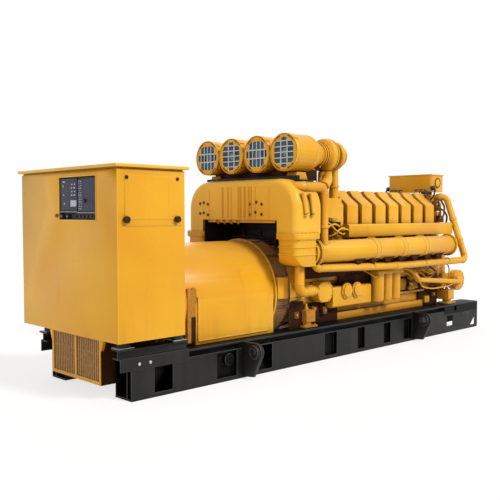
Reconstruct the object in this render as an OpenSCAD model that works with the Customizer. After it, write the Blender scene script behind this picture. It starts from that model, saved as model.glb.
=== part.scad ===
// Large V16 engine-generator set on a skid base.
// Frame: +X along the crankshaft towards the engine front, +Y to the left bank, +Z up.
// Origin: on the ground, in the middle of the two skid rails. Millimetres.

/* [Skid] */
// Length of each skid rail
rail_l = 6500; // [6300:50:7900]
// Height of the skid rails
rail_h = 405; // [340:5:490]
// Distance over the outer faces of the two rails
skid_w = 1484; // [1460:4:1800]
// Width of one rail over its flanges
rail_w = 272; // [200:4:300]
// Thickness of the rail flanges
flange_t = 20; // [12:1:30]
// Thickness of the rail side plates
side_plate_t = 14; // [8:1:20]
// Height of the open groove under the top flange
groove_h = 56; // [30:2:60]
// Width of the short pockets in the rail sides
pocket_w = 220; // [140:5:260]
// Height of the pockets in the rail sides
pocket_h = 270; // [180:5:280]
// Number of cross beams between the rails
cross_beam_n = 5; // [3:1:7]
// Reach of the lifting lugs out from the rails
lug_reach = 280; // [200:10:340]
// Radius of the eye in each lifting lug
lug_eye_r = 45; // [30:1:60]
// Radius of the anchor bolt holes
anchor_r = 14; // [9:1:20]

/* [Control cabinet] */
// Length of the cabinet along the set
cabinet_l = 765; // [600:5:900]
// Width of the cabinet across the set
cabinet_w = 1790; // [1560:10:2000]
// Height of the cabinet box
cabinet_h = 1572; // [1200:10:1800]
// Gap between the rail tops and the cabinet
cabinet_gap = 189; // [150:1:230]
// Overhang of the cabinet past the rail ends
cabinet_overhang = 240; // [200:5:300]
// Overhang of the roof plate
roof_overhang = 34; // [15:1:50]
// Thickness of the roof plate
roof_t = 30; // [15:1:50]
// Width of the control panel opening
panel_w = 670; // [500:10:800]
// Height of the control panel opening
panel_h = 420; // [300:10:500]
// Depth of the control panel recess
panel_recess = 60; // [50:5:100]

/* [Alternator] */
// Height of the shaft line above the ground
shaft_z = 840; // [820:5:1010]
// Radius of the alternator barrel
barrel_r = 600; // [500:4:610]
// Length of the barrel
barrel_l = 1480; // [1300:10:1780]
// Space between the cabinet and the barrel
barrel_gap = 65; // [60:5:200]
// Length of the perforated outlet screen
screen_l = 234; // [180:2:280]
// Number of straps along the outlet screen
strap_n = 12; // [6:1:16]

/* [Engine] */
// Number of cylinders in each bank
cylinders = 8; // [6:1:9]
// Distance from one cylinder to the next
pitch = 305; // [280:5:370]
// Length of one valve cover
cover_l = 222; // [180:2:240]
// Radius of the flywheel housing
flywheel_r = 590; // [500:5:595]
// Radius of the intake plenum tubes
plenum_r = 134; // [120:2:138]
// Distance of the intake plenums from the middle
plenum_y = 806; // [796:2:816]
// Radius of the coolant pipes
coolant_r = 48; // [35:1:52]
// Number of oil filters
oil_filters_n = 3; // [2:1:4]
// Radius of one oil filter
oil_filter_r = 90; // [75:1:92]

/* [Air system] */
// Number of air cleaners across the set
cleaner_n = 4; // [2:2:4]
// Distance from one air cleaner to the next
cleaner_pitch = 441; // [430:1:450]
// Radius of an air cleaner drum
cleaner_r = 214; // [180:2:214]
// Length of the straight part of an air cleaner
cleaner_l = 375; // [320:5:420]
// Side of one square in the cleaner guards
guard_hole = 41; // [30:1:46]
// Width of the aftercooler over its shoulders
cooler_w = 1880; // [1840:10:1920]
// Radius of the aftercooler shoulders
shoulder_r = 340; // [250:5:360]
// Length of the aftercooler along the set
cooler_l = 470; // [420:10:500]
// Width of each aftercooler leg
leg_w = 295; // [260:5:320]
// Number of ribs on the face of the aftercooler
cooler_rib_n = 7; // [3:1:9]
// Bolt circle of the exhaust outlet flange
exhaust_pcd = 400; // [350:5:440]
// Inner radius of the exhaust outlet
exhaust_bore_r = 152; // [120:2:160]
// Bolt circle of the coolant outlet flange
coolant_pcd = 180; // [160:5:200]
// Inner radius of the coolant outlet
coolant_bore_r = 50; // [35:1:55]

/* [Hidden] */
$fn = 48;
fine = 96;
eps = 0.01;

// Colours of the real object
yellow = [0.93, 0.69, 0.14];
black = [0.10, 0.10, 0.11];
mesh_brown = [0.48, 0.34, 0.18];
panel_blue = [0.16, 0.20, 0.26];
filter_blue = [0.28, 0.44, 0.66];

// Skid
rail_x0 = -rail_l / 2;
rail_x1 = rail_l / 2;
rail_out = skid_w / 2;
rail_in = rail_out - rail_w;
groove_z = rail_h - flange_t - groove_h;
web_y = rail_out - 82;
end_plate_l = 290;
corner_r = 30;
anchor_inset = 350;
anchor_span_x = rail_l - 2 * anchor_inset;
anchor_span_y = skid_w - rail_w;
// Pockets in the side plates: distance of the left end from the cabinet end, and width
pockets = [[270, pocket_w], [1070, pocket_w + 60], [1670, pocket_w], [2803, pocket_w + 12],
    [3450, pocket_w - 68], [4014, pocket_w - 64], [4480, pocket_w - 20]];
pocket_z = 45;
tube_x = rail_x0 + 1250;
tube_r = 65;
tube_z = 227;
lug_x = [rail_x0 + 1440, rail_x1 - 1800];
lug_t = 40;
lug_z = 300;
lug_r = 95;
eye_y = rail_out + lug_reach - lug_r - 5;

// Cabinet
cabinet_x0 = rail_x0 - cabinet_overhang;
cabinet_x1 = cabinet_x0 + cabinet_l;
cabinet_z0 = rail_h + cabinet_gap;
cabinet_z1 = cabinet_z0 + cabinet_h;
panel_y = -215;
panel_z = cabinet_z1 - 46 - panel_h;
pad_z = cabinet_z0 - 104;
lip_y = rail_out + 8;
inlet_x0 = rail_x0 - 150;
inlet_l = 690;
inlet_w = 2 * rail_in - 20;
inlet_z0 = 130;
inlet_post = 34;
inlet_wall = 6;
window_w = (inlet_w - 3 * inlet_post) / 2;
window_h = cabinet_z0 - inlet_z0 - 2 * inlet_post;
screen_t = 12;

// Alternator
barrel_x0 = cabinet_x1 + barrel_gap;
barrel_x1 = barrel_x0 + barrel_l;
ring_l = 26;
ring_rim = 22;
frame_y = barrel_r + 4;
foot_t = 25;
foot_reach = 110;
screen_x0 = barrel_x1 + ring_l;
flywheel_x0 = screen_x0 + screen_l;
flywheel_l = 330;
neck_r = flywheel_r - 50;

// Cross beams, below the lowest round of the alternator
beam_w = 180;
beam_z0 = 50;
beam_z1 = shaft_z - barrel_r - ring_rim - 28;
beam_x0 = inlet_x0 + inlet_l + 70 + beam_w / 2;
beam_x1 = rail_x1 - 900;

// Engine block
block_x0 = flywheel_x0 + flywheel_l;
first_cover_x = block_x0 + 505;
last_cover_x = first_cover_x + (cylinders - 1) * pitch;
block_x1 = last_cover_x + pitch + 110;
pan_top = shaft_z - 185;
pan_z0 = shaft_z - 540;
pan_y = 455;
pan_lip = 500;
side_y = 470;
hip_y = 520;
hip_z0 = shaft_z + 90;
hip_z1 = shaft_z + 220;
deck_in = [150, shaft_z + 630];
deck_out = [505, shaft_z + 425];
head_t = 190;
bank_tilt = 30;
head_up = head_t * [sin(bank_tilt), cos(bank_tilt)];
bank_out = [cos(bank_tilt), -sin(bank_tilt)];
head_in = deck_in + head_up;
head_out = deck_out + head_up;
cover_y = 548;
pad_r = 62;

// Charge air
cooler_z1 = shaft_z + 1288;
cooler_z0 = shaft_z + 917;
belly_z = shaft_z + 838;
leg_z0 = shaft_z + 700;
cooler_x1 = block_x0 - 130;
cooler_x0 = cooler_x1 - cooler_l;
plenum_z = shaft_z + 472;
plenum_x0 = block_x0 - 124;
plenum_x1 = last_cover_x + cover_l + 18;
elbow_x0 = cooler_x0;
elbow_x1 = cooler_x0 + 310;
elbow_y0 = plenum_y - plenum_r - 32;
elbow_y1 = plenum_y + plenum_r + 10;
elbow_z0 = plenum_z - plenum_r - 13;
elbow_z1 = leg_z0 - 56;
tube_y = cooler_w / 2 - 80;
charge_z = cooler_z1 - 61;
charge_x = block_x0 - 40;
charge_r = 58;

// Air cleaners and turbochargers
tray_z = shaft_z + 1332;
tray_t = 26;
cleaner_z = shaft_z + 1622;
cleaner_x0 = cooler_x0 + 90;
cleaner_x1 = cleaner_x0 + cleaner_l;
turbo_x0 = block_x0 + 110;
cleaner_neck_r = 128;
compressor_r = 200;
turbine_r = 170;
turbine_x0 = turbo_x0 + 230;
turbo_x1 = turbine_x0 + 120;

// Exhaust
log_y = 100;
log_z = shaft_z + 800;
log_r = 75;
collector_x0 = block_x0 + 170;
collector_x1 = block_x0 + 470;
collector_z0 = shaft_z + 870;
collector_z1 = shaft_z + 1110;
stack_x = block_x0 + 830;
stack_z = cleaner_z + 138;
exhaust_bolts = 12;

// Engine front
coolant_y = 850;
riser_x = block_x1 + 205;
riser_top = [508, shaft_z + 1180];
thermostat_l = 160;
thermostat_w = 380;
thermostat_z0 = shaft_z + 640;
thermostat_z1 = shaft_z + 1210;
outlet_z = shaft_z + 960;
coolant_bolts = 8;
junction_z0 = thermostat_z1 + 40;
front_l = 230;
pump_x = block_x1 + 397;
pump_z = shaft_z - 95;
pump_r = 155;
filter_step = 2 * oil_filter_r + 8;

// ---- helpers ----
module box(a, b) { translate(a) cube(b - a); }

module rod_x(x0, x1, r, y = 0, z = 0) {
    translate([x0, y, z]) rotate([0, 90, 0]) cylinder(h = x1 - x0, r = r);
}

module rod_y(y0, y1, r, x = 0, z = 0) {
    translate([x, y0, z]) rotate([-90, 0, 0]) cylinder(h = y1 - y0, r = r);
}

module rod_z(z0, z1, r, x = 0, y = 0) {
    translate([x, y, z0]) cylinder(h = z1 - z0, r = r);
}

// Solid of revolution about the X direction, from a drawing of (radius, distance along X)
module turned_x(x0, y, z) {
    translate([x0, y, z]) rotate([0, 90, 0]) rotate_extrude($fn = fine) children();
}

// Rounded rectangle from exact squares and circles
module round_rect(w, h, r) {
    translate([r, 0]) square([w - 2 * r, h]);
    translate([0, r]) square([w, h - 2 * r]);
    for (x = [r, w - r], y = [r, h - r]) translate([x, y]) circle(r);
}

// Extrudes a drawing of (Y, Z) along X
module along_x(x0, x1) {
    translate([x0, 0, 0]) rotate([90, 0, 90]) linear_extrude(x1 - x0) children();
}

// Extrudes a drawing of (X, Z) along Y
module along_y(y0, y1) {
    translate([0, y1, 0]) rotate([90, 0, 0]) linear_extrude(y1 - y0) children();
}

module both_sides() {
    children();
    mirror([0, 1, 0]) children();
}

// Outline with its mirror image across the middle
function mirrored(p) = concat(p, [for (i = [len(p) - 1:-1:0]) [-p[i].x, p[i].y]]);

function unit(v) = v / norm(v);

// Outline p with corner i rounded to the radius r[i]
function rounded(p, r, steps = 5) = [for (i = [0:len(p) - 1])
    let (a = unit(p[(i + len(p) - 1) % len(p)] - p[i]),
        b = unit(p[(i + 1) % len(p)] - p[i]),
        half = acos(a * b) / 2,
        c = p[i] + unit(a + b) * r[i] / sin(half),
        ta = p[i] + a * r[i] / tan(half) - c,
        tb = p[i] + b * r[i] / tan(half) - c,
        sweep = 180 - 2 * half)
    each r[i] == 0 ? [p[i]]
        : [for (k = [0:steps])
            c + (sin(sweep * (1 - k / steps)) * ta + sin(sweep * k / steps) * tb) / sin(sweep)]];

// One bend of a pipe: from the direction u to the direction v around the corner p
module pipe_bend(p, u, v, r, bend_r) {
    turn = acos(u * v);
    n = unit(cross(u, v));
    m = cross(n, u);
    c = p - u * bend_r * tan(turn / 2) + m * bend_r;
    multmatrix([[-m.x, u.x, n.x, c.x], [-m.y, u.y, n.y, c.y], [-m.z, u.z, n.z, c.z], [0, 0, 0, 1]])
        rotate_extrude(angle = turn) translate([bend_r, 0]) circle(r);
}

module straight(a, b, r) {
    d = b - a;
    translate(a) rotate([0, acos(d.z / norm(d)), atan2(d.y, d.x)]) cylinder(h = norm(d), r = r);
}

// Length that a bend at point i takes from the straights beside it
function bend_cut(p, i, bend_r) = i == 0 || i == len(p) - 1 ? 0
    : bend_r * tan(acos(unit(p[i] - p[i - 1]) * unit(p[i + 1] - p[i])) / 2);

// Pipe through the points p, with round bends and a weld ring at each bend's ends
module pipe(p, r, bend_r, ring = 4) {
    for (i = [0:len(p) - 2]) {
        d = unit(p[i + 1] - p[i]);
        a = p[i] + d * bend_cut(p, i, bend_r);
        b = p[i + 1] - d * bend_cut(p, i + 1, bend_r);
        straight(a, b, r);
        if (i > 0) straight(a - d * 5, a + d * 5, r + ring);
        if (i < len(p) - 2) straight(b - d * 5, b + d * 5, r + ring);
    }
    for (i = [1:len(p) - 2])
        pipe_bend(p[i], unit(p[i] - p[i - 1]), unit(p[i + 1] - p[i]), r, bend_r);
}

// Where the sloping top of the heads stands above a distance y from the middle
function head_top(y) = head_in.y + (head_out.y - head_in.y) * (y - head_in.x) / (head_out.x - head_in.x);

function cylinder_x(i) = first_cover_x + i * pitch + cover_l / 2;

function cleaner_y(i) = (i - (cleaner_n + 1) / 2) * cleaner_pitch;

// ---- skid ----
module rail_side_openings() {
    for (p = pockets) translate([rail_x0 + p[0], pocket_z]) square([p[1], pocket_h]);
    translate([rail_x1 - 900, 85]) square([170, 165]);
    polygon([[rail_x1 - 220, 45], [rail_x1 - 80, 45], [rail_x1 - 80, 175]]);
}

// Rail on the +Y side: two flanges, a pocketed side plate under an open groove, and a web
module rail() {
    difference() {
        union() {
            box([rail_x0, rail_in, 0], [rail_x1, rail_out, flange_t]);
            box([rail_x0, rail_in, rail_h - flange_t], [rail_x1, rail_out, rail_h]);
            along_y(rail_out - side_plate_t, rail_out) difference() {
                union() {
                    translate([rail_x0, flange_t]) square([rail_l, groove_z - flange_t]);
                    translate([rail_x1 - end_plate_l, flange_t])
                        square([end_plate_l, rail_h - 2 * flange_t]);
                }
                rail_side_openings();
            }
            along_y(web_y, web_y + side_plate_t) difference() {
                translate([rail_x0, flange_t]) square([rail_l - 170, rail_h - 2 * flange_t]);
                translate([rail_x1 - 850, 60]) square([250, 200]);
            }
            for (p = pockets, s = [-1, 1]) {
                x = rail_x0 + p[0] + (s + 1) / 2 * p[1] + s * (side_plate_t / 2 + 8);
                box([x - side_plate_t / 2, web_y, flange_t],
                    [x + side_plate_t / 2, rail_out - side_plate_t, groove_z]);
            }
            rod_y(web_y, rail_out - side_plate_t / 2, tube_r, tube_x, tube_z);
        }
        for (x = [-anchor_span_x / 2, anchor_span_x / 2])
            rod_z(-1, flange_t + 1, anchor_r, x, anchor_span_y / 2);
        along_y(rail_in - 1, rail_out + 1) for (z = [corner_r, rail_h - corner_r])
            translate([rail_x1 - corner_r, z]) difference() {
                translate([0, z < rail_h / 2 ? -corner_r - 1 : 0]) square(corner_r + 1);
                circle(corner_r);
            }
    }
}

module left_rail() { color(black) rail(); }
module right_rail() { color(black) mirror([0, 1, 0]) rail(); }

// I-beams across, from rail to rail
module cross_beams() {
    color(black) for (i = [0:cross_beam_n - 1])
        translate([beam_x0 + i * (beam_x1 - beam_x0) / (cross_beam_n - 1), 0, 0]) {
            box([-beam_w / 2, -rail_in, beam_z0], [beam_w / 2, rail_in, beam_z0 + flange_t]);
            box([-beam_w / 2, -rail_in, beam_z1 - flange_t], [beam_w / 2, rail_in, beam_z1]);
            box([-8, -rail_in, beam_z0 + flange_t], [8, rail_in, beam_z1 - flange_t]);
        }
}

// Round-nosed lug plates that stand out from the rails, each with a lifting eye
module lifting_lugs() {
    nose = lug_reach - lug_r;
    color(black) both_sides() for (x = lug_x) difference() {
        union() {
            along_x(x, x + lug_t) {
                translate([rail_out, lug_z - lug_r]) square([nose, 2 * lug_r]);
                translate([rail_out + nose, lug_z]) circle(lug_r);
                polygon([[rail_out, 15], [rail_out + nose - 30, 30],
                    [rail_out + nose + 80, lug_z - 50], [rail_out, lug_z - 50]]);
            }
            rod_x(x - 30, x + lug_t + 30, lug_eye_r + 28, eye_y, lug_z);
        }
        rod_x(x - 40, x + lug_t + 40, lug_eye_r, eye_y, lug_z);
    }
}

// Folded plates on the rails, with soft mounts that carry the cabinet
module cabinet_supports() {
    x0 = rail_x0 - 125;
    x1 = x0 + 815;
    color(black) both_sides() {
        along_x(x0, x1) union() {
            translate([rail_out - 120, rail_h]) square([lip_y - rail_out + 120, 16]);
            translate([rail_out, rail_h - 110]) square([lip_y - rail_out, 126]);
            translate([rail_out - 50, rail_h + 16]) square([14, pad_z - rail_h - 16]);
            translate([rail_out - 130, pad_z]) square([130, 8]);
        }
        for (x = [x0 + 75, x1 - 110]) {
            box([x - 90, rail_out - 125, pad_z + 8], [x + 90, rail_out + 12, pad_z + 22]);
            rod_z(pad_z + 22, cabinet_z0 - 26, 50, x, rail_out - 60);
            rod_z(cabinet_z0 - 26, cabinet_z0, 66, x, rail_out - 60);
        }
    }
}

// ---- control cabinet ----
module cabinet() {
    color(yellow) difference() {
        box([cabinet_x0, -cabinet_w / 2, cabinet_z0], [cabinet_x1, cabinet_w / 2, cabinet_z1]);
        translate([cabinet_x0 - 1, panel_y - panel_w / 2, panel_z])
            cube([panel_recess + 1, panel_w, panel_h]);
    }
}

module cabinet_roof() {
    rim = 14;
    rim_in = 12;
    color(yellow) {
        box([cabinet_x0 + rim_in, -cabinet_w / 2 + rim_in, cabinet_z1],
            [cabinet_x1 - rim_in, cabinet_w / 2 - rim_in, cabinet_z1 + rim]);
        translate([cabinet_x0 - roof_overhang, -cabinet_w / 2 - roof_overhang, cabinet_z1 + rim])
            linear_extrude(roof_t)
                round_rect(cabinet_l + 2 * roof_overhang, cabinet_w + 2 * roof_overhang, 12);
    }
}

// Upper cover plates on the two cabinet sides, with two knobs and two fasteners each
module cabinet_side_covers() {
    z0 = cabinet_z1 - 516;
    knob_z = cabinet_z1 - 455;
    x0 = cabinet_x0 + 76;
    x1 = cabinet_x1 - 40;
    color(yellow) both_sides() {
        along_y(cabinet_w / 2, cabinet_w / 2 + 4) translate([x0, z0])
            round_rect(x1 - x0, cabinet_z1 - 40 - z0, 8);
        along_y(cabinet_w / 2 + 4, cabinet_w / 2 + 7) translate([x0 + 10, knob_z])
            round_rect(x1 - x0 - 20, cabinet_z1 - 50 - knob_z, 8);
        for (x = [x0 + 34, x1 - 50]) {
            rod_y(cabinet_w / 2 + 4, cabinet_w / 2 + 20, 29, x, knob_z);
            rod_y(cabinet_w / 2 + 20, cabinet_w / 2 + 34, 22, x, knob_z);
            rod_y(cabinet_w / 2 + 7, cabinet_w / 2 + 14, 15, x, cabinet_z1 - 76);
        }
    }
}

// Instrument modules set into the cabinet end
module control_panel() {
    x_back = cabinet_x0 + panel_recess;
    y0 = panel_y - panel_w / 2;
    margin = 14;
    color(panel_blue) {
        box([x_back - 18, y0, panel_z], [x_back, y0 + panel_w, panel_z + panel_h]);
        box([x_back - 42, y0 + margin, panel_z + 80],
            [x_back - 18, panel_y - 6, panel_z + panel_h - margin]);
        box([x_back - 50, panel_y + 6, panel_z + 106],
            [x_back - 18, y0 + panel_w - margin, panel_z + panel_h - 26]);
        box([x_back - 30, y0 + margin, panel_z + margin],
            [x_back - 18, y0 + panel_w - margin, panel_z + 62]);
    }
}

// ---- cooling air inlet ----
module inlet_windows(depth) {
    for (y = [-inlet_w / 2 + inlet_post, inlet_post / 2])
        translate([inlet_x0, y, inlet_z0 + inlet_post]) cube([depth, window_w, window_h]);
}

module air_inlet_box() {
    gusset = 60;
    color(yellow) difference() {
        union() {
            box([inlet_x0, -inlet_w / 2, inlet_z0], [inlet_x0 + inlet_l, inlet_w / 2, cabinet_z0]);
            both_sides() translate([inlet_x0, 0, 0]) rotate([90, 0, 90]) linear_extrude(inlet_post)
                polygon([[inlet_w / 2 - eps, cabinet_z0], [inlet_w / 2 - eps, cabinet_z0 - 130],
                    [inlet_w / 2 + gusset * 0.1, cabinet_z0 - 130], [inlet_w / 2 + gusset, cabinet_z0]]);
        }
        box([inlet_x0 + inlet_post, -inlet_w / 2 + inlet_wall, inlet_z0 + inlet_wall],
            [inlet_x0 + inlet_l - inlet_wall, inlet_w / 2 - inlet_wall, cabinet_z0 - inlet_wall]);
        translate([-1, 0, 0]) inlet_windows(inlet_post + 2);
    }
}

module inlet_screens() {
    color(mesh_brown) intersection() {
        translate([10, 0, 0]) inlet_windows(screen_t);
        box([inlet_x0, -inlet_w, 0], [inlet_x0 + inlet_l, inlet_w, cabinet_z0]);
    }
}

// ---- alternator ----
module alternator_barrel() {
    shoulder = 310;
    color(yellow) union() {
        rod_x(barrel_x0, barrel_x1, barrel_r, 0, shaft_z);
        box([barrel_x0 + shoulder, -frame_y, rail_h], [barrel_x1 - 20, frame_y, shaft_z]);
        box([barrel_x0 + 20, -frame_y + 64, rail_h], [barrel_x0 + shoulder, frame_y - 64, shaft_z]);
        for (x = [barrel_x0 + shoulder, barrel_x1 - 260])
            box([x, -rail_in - foot_reach, rail_h], [x + 240, rail_in + foot_reach, rail_h + foot_t]);
    }
}

// Flat plates over the lower sides of the alternator, each with a raised frame and a fold
module alternator_side_plates() {
    x0 = barrel_x0 + 340;
    x1 = barrel_x1 - 100;
    z0 = rail_h + 36;
    z1 = shaft_z + 140;
    rim = 26;
    fold_x = x1 - 180;
    color(yellow) both_sides() {
        box([x0, frame_y, z0], [x1, frame_y + 8, z1]);
        along_y(frame_y + 8, frame_y + 14) {
            difference() {
                translate([x0, z0]) square([x1 - x0, z1 - z0]);
                translate([x0 + rim, z0 + rim]) square([x1 - x0 - 2 * rim, z1 - z0 - 2 * rim]);
            }
            translate([fold_x, z0]) square([60, z1 - z0]);
        }
    }
}

module alternator_end_ring() {
    color(yellow) rod_x(barrel_x1, screen_x0, barrel_r + ring_rim, 0, shaft_z);
}

// Perforated drum round the fan outlet, with rims and straps
module outlet_screen() {
    rim_l = 18;
    rim_t = 12;
    strap_w = 30;
    color(mesh_brown) union() {
        rod_x(screen_x0, flywheel_x0, barrel_r, 0, shaft_z);
        for (x = [screen_x0, flywheel_x0 - rim_l]) rod_x(x, x + rim_l, barrel_r + rim_t, 0, shaft_z);
        for (i = [0:strap_n - 1]) translate([screen_x0, 0, shaft_z]) rotate([i * 360 / strap_n + 15, 0, 0])
            translate([0, -strap_w / 2, barrel_r - 10]) cube([screen_l, strap_w, 18]);
    }
}

module machine_foot(x0, x1, y0) {
    xc = (x0 + x1) / 2;
    yc = rail_in + foot_reach;
    box([x0 - 30, rail_in + 10, rail_h], [x1 + 30, rail_in + 200, rail_h + 20]);
    rod_z(rail_h + 20, rail_h + 62, pad_r, xc, yc);
    box([x0, y0, rail_h + 62], [x1, rail_in + 190, rail_h + 205]);
}

// Housing between the coupling and the block, with the rear feet
module flywheel_housing() {
    flange_l = 40;
    rib = 30;
    color(yellow) union() {
        rod_x(flywheel_x0, flywheel_x0 + flange_l, flywheel_r, 0, shaft_z);
        rod_x(flywheel_x0 + flange_l, block_x0, neck_r, 0, shaft_z);
        for (a = [20:40:340]) translate([flywheel_x0 + flange_l, 0, shaft_z]) rotate([a, 0, 0])
            along_y(-rib / 2, rib / 2) polygon([[-5, neck_r - 20], [-5, flywheel_r - 15],
                [flywheel_l - flange_l, neck_r + 4], [flywheel_l - flange_l, neck_r - 20]]);
        both_sides() machine_foot(block_x0 - 100, block_x0 + 60, side_y + 10);
    }
}

// Box on the side of the coupling, folded to follow the drum
module terminal_box() {
    x = screen_x0 + 4;
    y = -barrel_r;
    color(yellow) difference() {
        translate([0, 0, shaft_z - 54]) linear_extrude(244) polygon([[x, y + 60], [x, y - 32],
            [x + 134, y - 52], [x + 204, y - 4], [x + 204, y + 100]]);
        translate([x - 1, 0, shaft_z]) rotate([0, 90, 0]) cylinder(h = 300, r = barrel_r + 12, $fn = 192);
    }
}

// ---- engine ----
// Round-cornered inspection cover on a side face
module side_cover(xc, zc, w, h, y0, y1) {
    along_y(y0, y1) translate([xc - w / 2, zc - h / 2]) round_rect(w, h, 24);
}

module block_side(first_lower) {
    for (i = [0:cylinders - 1])
        side_cover(cylinder_x(i), shaft_z + 310, 190, 130, deck_out.x - 15, hip_y + 12);
    for (i = [first_lower:cylinders - 1])
        side_cover(cylinder_x(i), shaft_z - 85, 220, 160, side_y - 10, side_y + 14);
    // Long six-sided cover behind the flywheel housing
    along_y(side_y - 10, side_y + 170) translate([block_x0 + 272, shaft_z - 36])
        polygon([[-133, -60], [-75, -123], [75, -123], [133, -60],
            [133, 60], [75, 123], [-75, 123], [-133, 60]]);
}

module crankcase() {
    valley_z = shaft_z + 490;
    color(yellow) union() {
        along_x(block_x0, block_x1) polygon(mirrored([[side_y, pan_top], [side_y, shaft_z + 10],
            [hip_y, hip_z0], [hip_y, hip_z1], deck_out, deck_in, [60, valley_z]]));
        box([block_x0, -deck_in.x, valley_z - 20], [collector_x1, deck_in.x, deck_in.y + 10]);
        block_side(0);
        mirror([0, 1, 0]) block_side(3);
    }
}

module oil_pan() {
    fold_z = shaft_z - 355;
    lip_t = 30;
    color(yellow) union() {
        box([block_x0 + 70, -pan_lip, pan_top - lip_t], [block_x1 - 360, pan_lip, pan_top]);
        intersection() {
            along_x(block_x0 + 120, block_x1 - 400)
                polygon(mirrored([[280, pan_z0], [pan_y, fold_z], [pan_y, pan_top - lip_t + 5]]));
            along_y(-pan_lip, pan_lip) polygon([[block_x0 + 260, pan_z0], [block_x0 + 120, fold_z],
                [block_x0 + 120, pan_top], [block_x1 - 400, pan_top], [block_x1 - 400, fold_z],
                [block_x1 - 600, pan_z0]]);
        }
    }
}

// One head: a block on the tilted deck
module head_profile() { polygon([deck_in, deck_out, head_out, head_in]); }

module cylinder_heads() {
    color(yellow) both_sides() for (i = [0:cylinders - 1])
        translate([first_cover_x + i * pitch, 0, 0]) along_x(-20, cover_l + 20) head_profile();
}

// Bent cover over one head, with rounded shoulder and ridge
module cover_profile() {
    polygon(rounded([head_in, [cover_y, head_top(cover_y)], [cover_y, shaft_z + 1040],
        [395, shaft_z + 1152], [336, shaft_z + 1226], [276, shaft_z + 1212], [head_in.x, shaft_z + 1010]],
        [0, 0, 45, 60, 22, 22, 30]));
}

module valve_covers() {
    for (i = [0:cylinders - 1]) translate([first_cover_x + i * pitch, 0, 0]) {
        along_x(0, cover_l) cover_profile();
        along_x(-9, cover_l + 9) polygon([head_in, [cover_y + 10, head_top(cover_y + 10)],
            [cover_y + 10, head_top(cover_y + 10) + 22], [head_in.x, head_in.y + 24]]);
    }
}

module left_valve_covers() { color(yellow) valve_covers(); }
module right_valve_covers() { color(yellow) mirror([0, 1, 0]) valve_covers(); }

// Square water manifold along each bank, on feet that stand on the heads
module water_manifolds() {
    y0 = cover_y + 12;
    y1 = y0 + 105;
    z0 = shaft_z + 618;
    z1 = z0 + 170;
    color(yellow) both_sides() {
        along_x(cylinder_x(1) - 222, block_x1 + 135)
            polygon(rounded([[y0, z0], [y1, z0], [y1, z1], [y0, z1]], [14, 14, 24, 24]));
        for (i = [1:cylinders - 1]) along_x(cylinder_x(i) - 40, cylinder_x(i) + 40)
            polygon([[y0, head_top(y0)], [head_out.x, head_out.y], [head_out.x, z0 + 20], [y0 + 2, z0 + 20]]);
        rod_y(thermostat_w, y0 + 20, 45, block_x1 + 80, z0 + 85);
    }
}

// Intake plenum tube with clamped joints and a runner from each head
module plenum() {
    joints = [1040, 1645, 2160];
    cap_l = 60;
    face = (deck_out + head_out) / 2;
    union() {
        rod_x(plenum_x0, plenum_x1 - cap_l, plenum_r, plenum_y, plenum_z);
        translate([plenum_x1 - cap_l, plenum_y, plenum_z]) rotate([0, 90, 0])
            cylinder(h = cap_l, r1 = plenum_r, r2 = plenum_r - 46);
        for (x = joints) rod_x(plenum_x0 + x, plenum_x0 + x + 110, plenum_r + 7, plenum_y, plenum_z);
        for (i = [0:cylinders - 1]) {
            p = [cylinder_x(i), face.x, face.y];
            n = [0, bank_out.x, bank_out.y];
            straight(p, p + n * 230, 58);
            straight(p, p + n * 26, 78);
        }
    }
}

module left_intake_plenum() { color(yellow) plenum(); }
module right_intake_plenum() { color(yellow) mirror([0, 1, 0]) plenum(); }

// Side view of the elbow casting, grown by g for its ribs
module elbow_outline(g) {
    x_end = elbow_x1 + 60 + g;
    step_z = plenum_z + plenum_r;
    polygon(rounded([[elbow_x0 - g, elbow_z1], [elbow_x0 - g, elbow_z0 - g], [x_end, elbow_z0 - g],
        [x_end, step_z], [elbow_x1 + g, step_z + 30], [elbow_x1 + g, elbow_z1]], [0, 165, 30, 10, 0, 0]));
}

module elbow_body(g) {
    intersection() {
        along_y(elbow_y0 - g, elbow_y1 + g) elbow_outline(g);
        translate([elbow_x0 - g, elbow_y0 - g, elbow_z0 - 50]) linear_extrude(500)
            round_rect(elbow_x1 + 60 - elbow_x0 + 2 * g, elbow_y1 - elbow_y0 + 2 * g, 70 + g);
    }
}

// Ribbed casting that turns the charge air from the aftercooler leg into the plenum
module intake_elbow() {
    rib_t = 14;
    rib_up = 11;
    union() {
        elbow_body(0);
        for (z = [shaft_z + 460, shaft_z + 546, shaft_z + 630]) intersection() {
            elbow_body(rib_up);
            box([elbow_x0 - 50, elbow_y0 - 50, z - rib_t / 2],
                [elbow_x1 + 100, elbow_y1 + 50, z + rib_t / 2]);
        }
        translate([elbow_x0 - 18, elbow_y0 - 20, elbow_z1 - 8])
            linear_extrude(leg_z0 - elbow_z1 + 8) round_rect(425, elbow_y1 - elbow_y0 + 40, 60);
        rod_x(elbow_x1, plenum_x0, plenum_r, plenum_y, plenum_z);
        for (x = [elbow_x1 + 46, plenum_x0 - 42, plenum_x0 - 18])
            rod_x(x - 9, x + 9, plenum_r + 30, plenum_y, plenum_z);
    }
}

module left_intake_elbow() { color(yellow) intake_elbow(); }
module right_intake_elbow() { color(yellow) mirror([0, 1, 0]) intake_elbow(); }

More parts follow.
